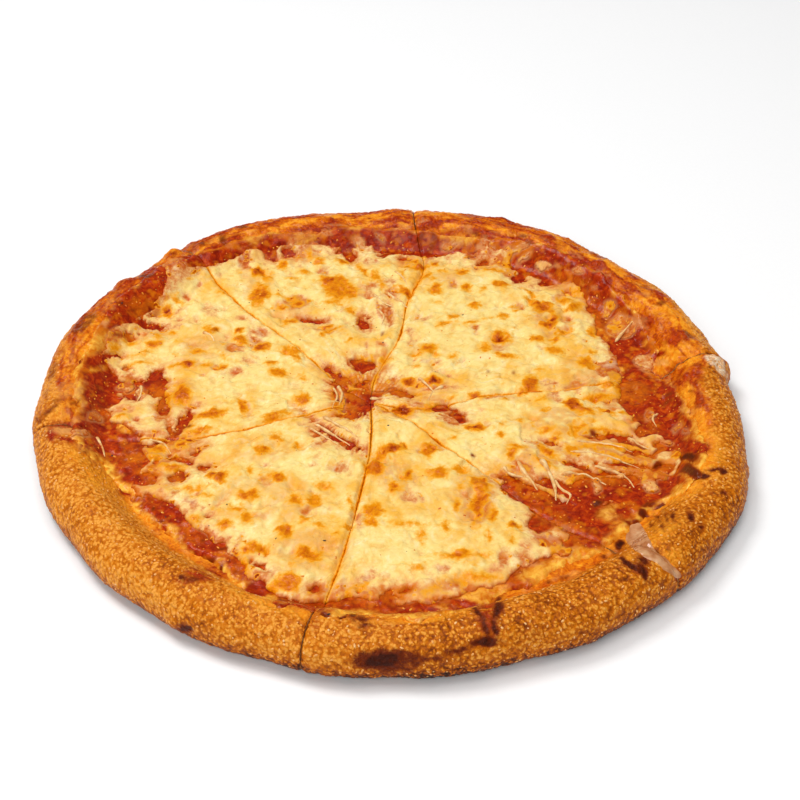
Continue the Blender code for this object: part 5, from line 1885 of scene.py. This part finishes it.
class PIZZA_PG_sprinkles(bpy.types.PropertyGroup):
    pepper_density: bpy.props.FloatProperty(
        name="Pepper", description="Flecks of herb and pepper on a square metre",
        default=1700.0, min=0.0,
    )
    oil_density: bpy.props.FloatProperty(
        name="Oil beads", description="Beads of oil on a square metre of bare sauce",
        default=90000.0, min=0.0,
    )
    semolina_density: bpy.props.FloatProperty(
        name="Semolina", description="Grains of semolina on a square metre of crust",
        default=60000.0, min=0.0,
    )


class PIZZA_PG_stage(bpy.types.PropertyGroup):
    floor_size: bpy.props.FloatProperty(
        name="Floor", description="Side of the square floor", default=6.0, min=1.0, unit="LENGTH",
    )
    surround: bpy.props.FloatProperty(
        name="Surround", description="Strength of the light from all round", default=0.22, min=0.0,
    )
    key_power: bpy.props.FloatProperty(
        name="Key light", description="Power of the main lamp, in watts", default=11.0, min=0.0,
    )
    fill_power: bpy.props.FloatProperty(
        name="Fill light", description="Power of the front lamp, in watts", default=7.0, min=0.0,
    )
    top_power: bpy.props.FloatProperty(
        name="Top light", description="Power of the lamp overhead, in watts", default=9.0, min=0.0,
    )


class PIZZA_OT_crust(bpy.types.Operator):
    """Make the six slices of the baked crust"""
    bl_idname = "pizza.crust"
    bl_label = "Crust"

    def execute(self, context):
        make_crust()
        return {"FINISHED"}


class PIZZA_OT_sauce(bpy.types.Operator):
    """Make the tomato sauce of the six slices"""
    bl_idname = "pizza.sauce"
    bl_label = "Sauce"

    def execute(self, context):
        make_sauce()
        return {"FINISHED"}


class PIZZA_OT_cheese(bpy.types.Operator):
    """Make the melted cheese of the six slices"""
    bl_idname = "pizza.cheese"
    bl_label = "Cheese"

    def execute(self, context):
        make_cheese()
        return {"FINISHED"}


class PIZZA_OT_strands(bpy.types.Operator):
    """Make the stretched threads of cheese and the film over the rim"""
    bl_idname = "pizza.strands"
    bl_label = "Strands and film"

    def execute(self, context):
        make_strands()
        make_drip()
        return {"FINISHED"}


class PIZZA_OT_sprinkles(bpy.types.Operator):
    """Strew pepper, oil beads and semolina"""
    bl_idname = "pizza.sprinkles"
    bl_label = "Pepper, oil and semolina"

    def execute(self, context):
        make_pepper()
        make_oil()
        make_semolina()
        return {"FINISHED"}


class PIZZA_OT_stage(bpy.types.Operator):
    """Make the floor, the light and the camera"""
    bl_idname = "pizza.stage"
    bl_label = "Stage"

    def execute(self, context):
        make_stage()
        return {"FINISHED"}


OPERATORS = (
    PIZZA_OT_crust, PIZZA_OT_sauce, PIZZA_OT_cheese, PIZZA_OT_strands, PIZZA_OT_sprinkles,
    PIZZA_OT_stage,
)
SETTINGS = {
    "pizza_crust": PIZZA_PG_crust,
    "pizza_sauce": PIZZA_PG_sauce,
    "pizza_cheese": PIZZA_PG_cheese,
    "pizza_sprinkles": PIZZA_PG_sprinkles,
    "pizza_stage": PIZZA_PG_stage,
}


class PIZZA_PT_panel(bpy.types.Panel):
    bl_label = "Margherita Pizza"
    bl_space_type = "VIEW_3D"
    bl_region_type = "UI"
    bl_category = "Pizza"

    def draw(self, context):
        for group in SETTINGS:
            for name in getattr(context.scene, group).__annotations__:
                self.layout.prop(getattr(context.scene, group), name)
        for operator in OPERATORS:
            self.layout.operator(operator.bl_idname)


def register():
    for group in SETTINGS.values():
        bpy.utils.register_class(group)
    for name, group in SETTINGS.items():
        setattr(bpy.types.Scene, name, bpy.props.PointerProperty(type=group))
    for operator in OPERATORS:
        bpy.utils.register_class(operator)
    bpy.utils.register_class(PIZZA_PT_panel)


def unregister():
    bpy.utils.unregister_class(PIZZA_PT_panel)
    for operator in reversed(OPERATORS):
        bpy.utils.unregister_class(operator)
    for name, group in SETTINGS.items():
        delattr(bpy.types.Scene, name)
        bpy.utils.unregister_class(group)


def main():
    register()
    bpy.ops.pizza.crust()
    bpy.ops.pizza.sauce()
    bpy.ops.pizza.cheese()
    bpy.ops.pizza.strands()
    bpy.ops.pizza.sprinkles()
    bpy.ops.pizza.stage()


if __name__ == "__main__":
    main()
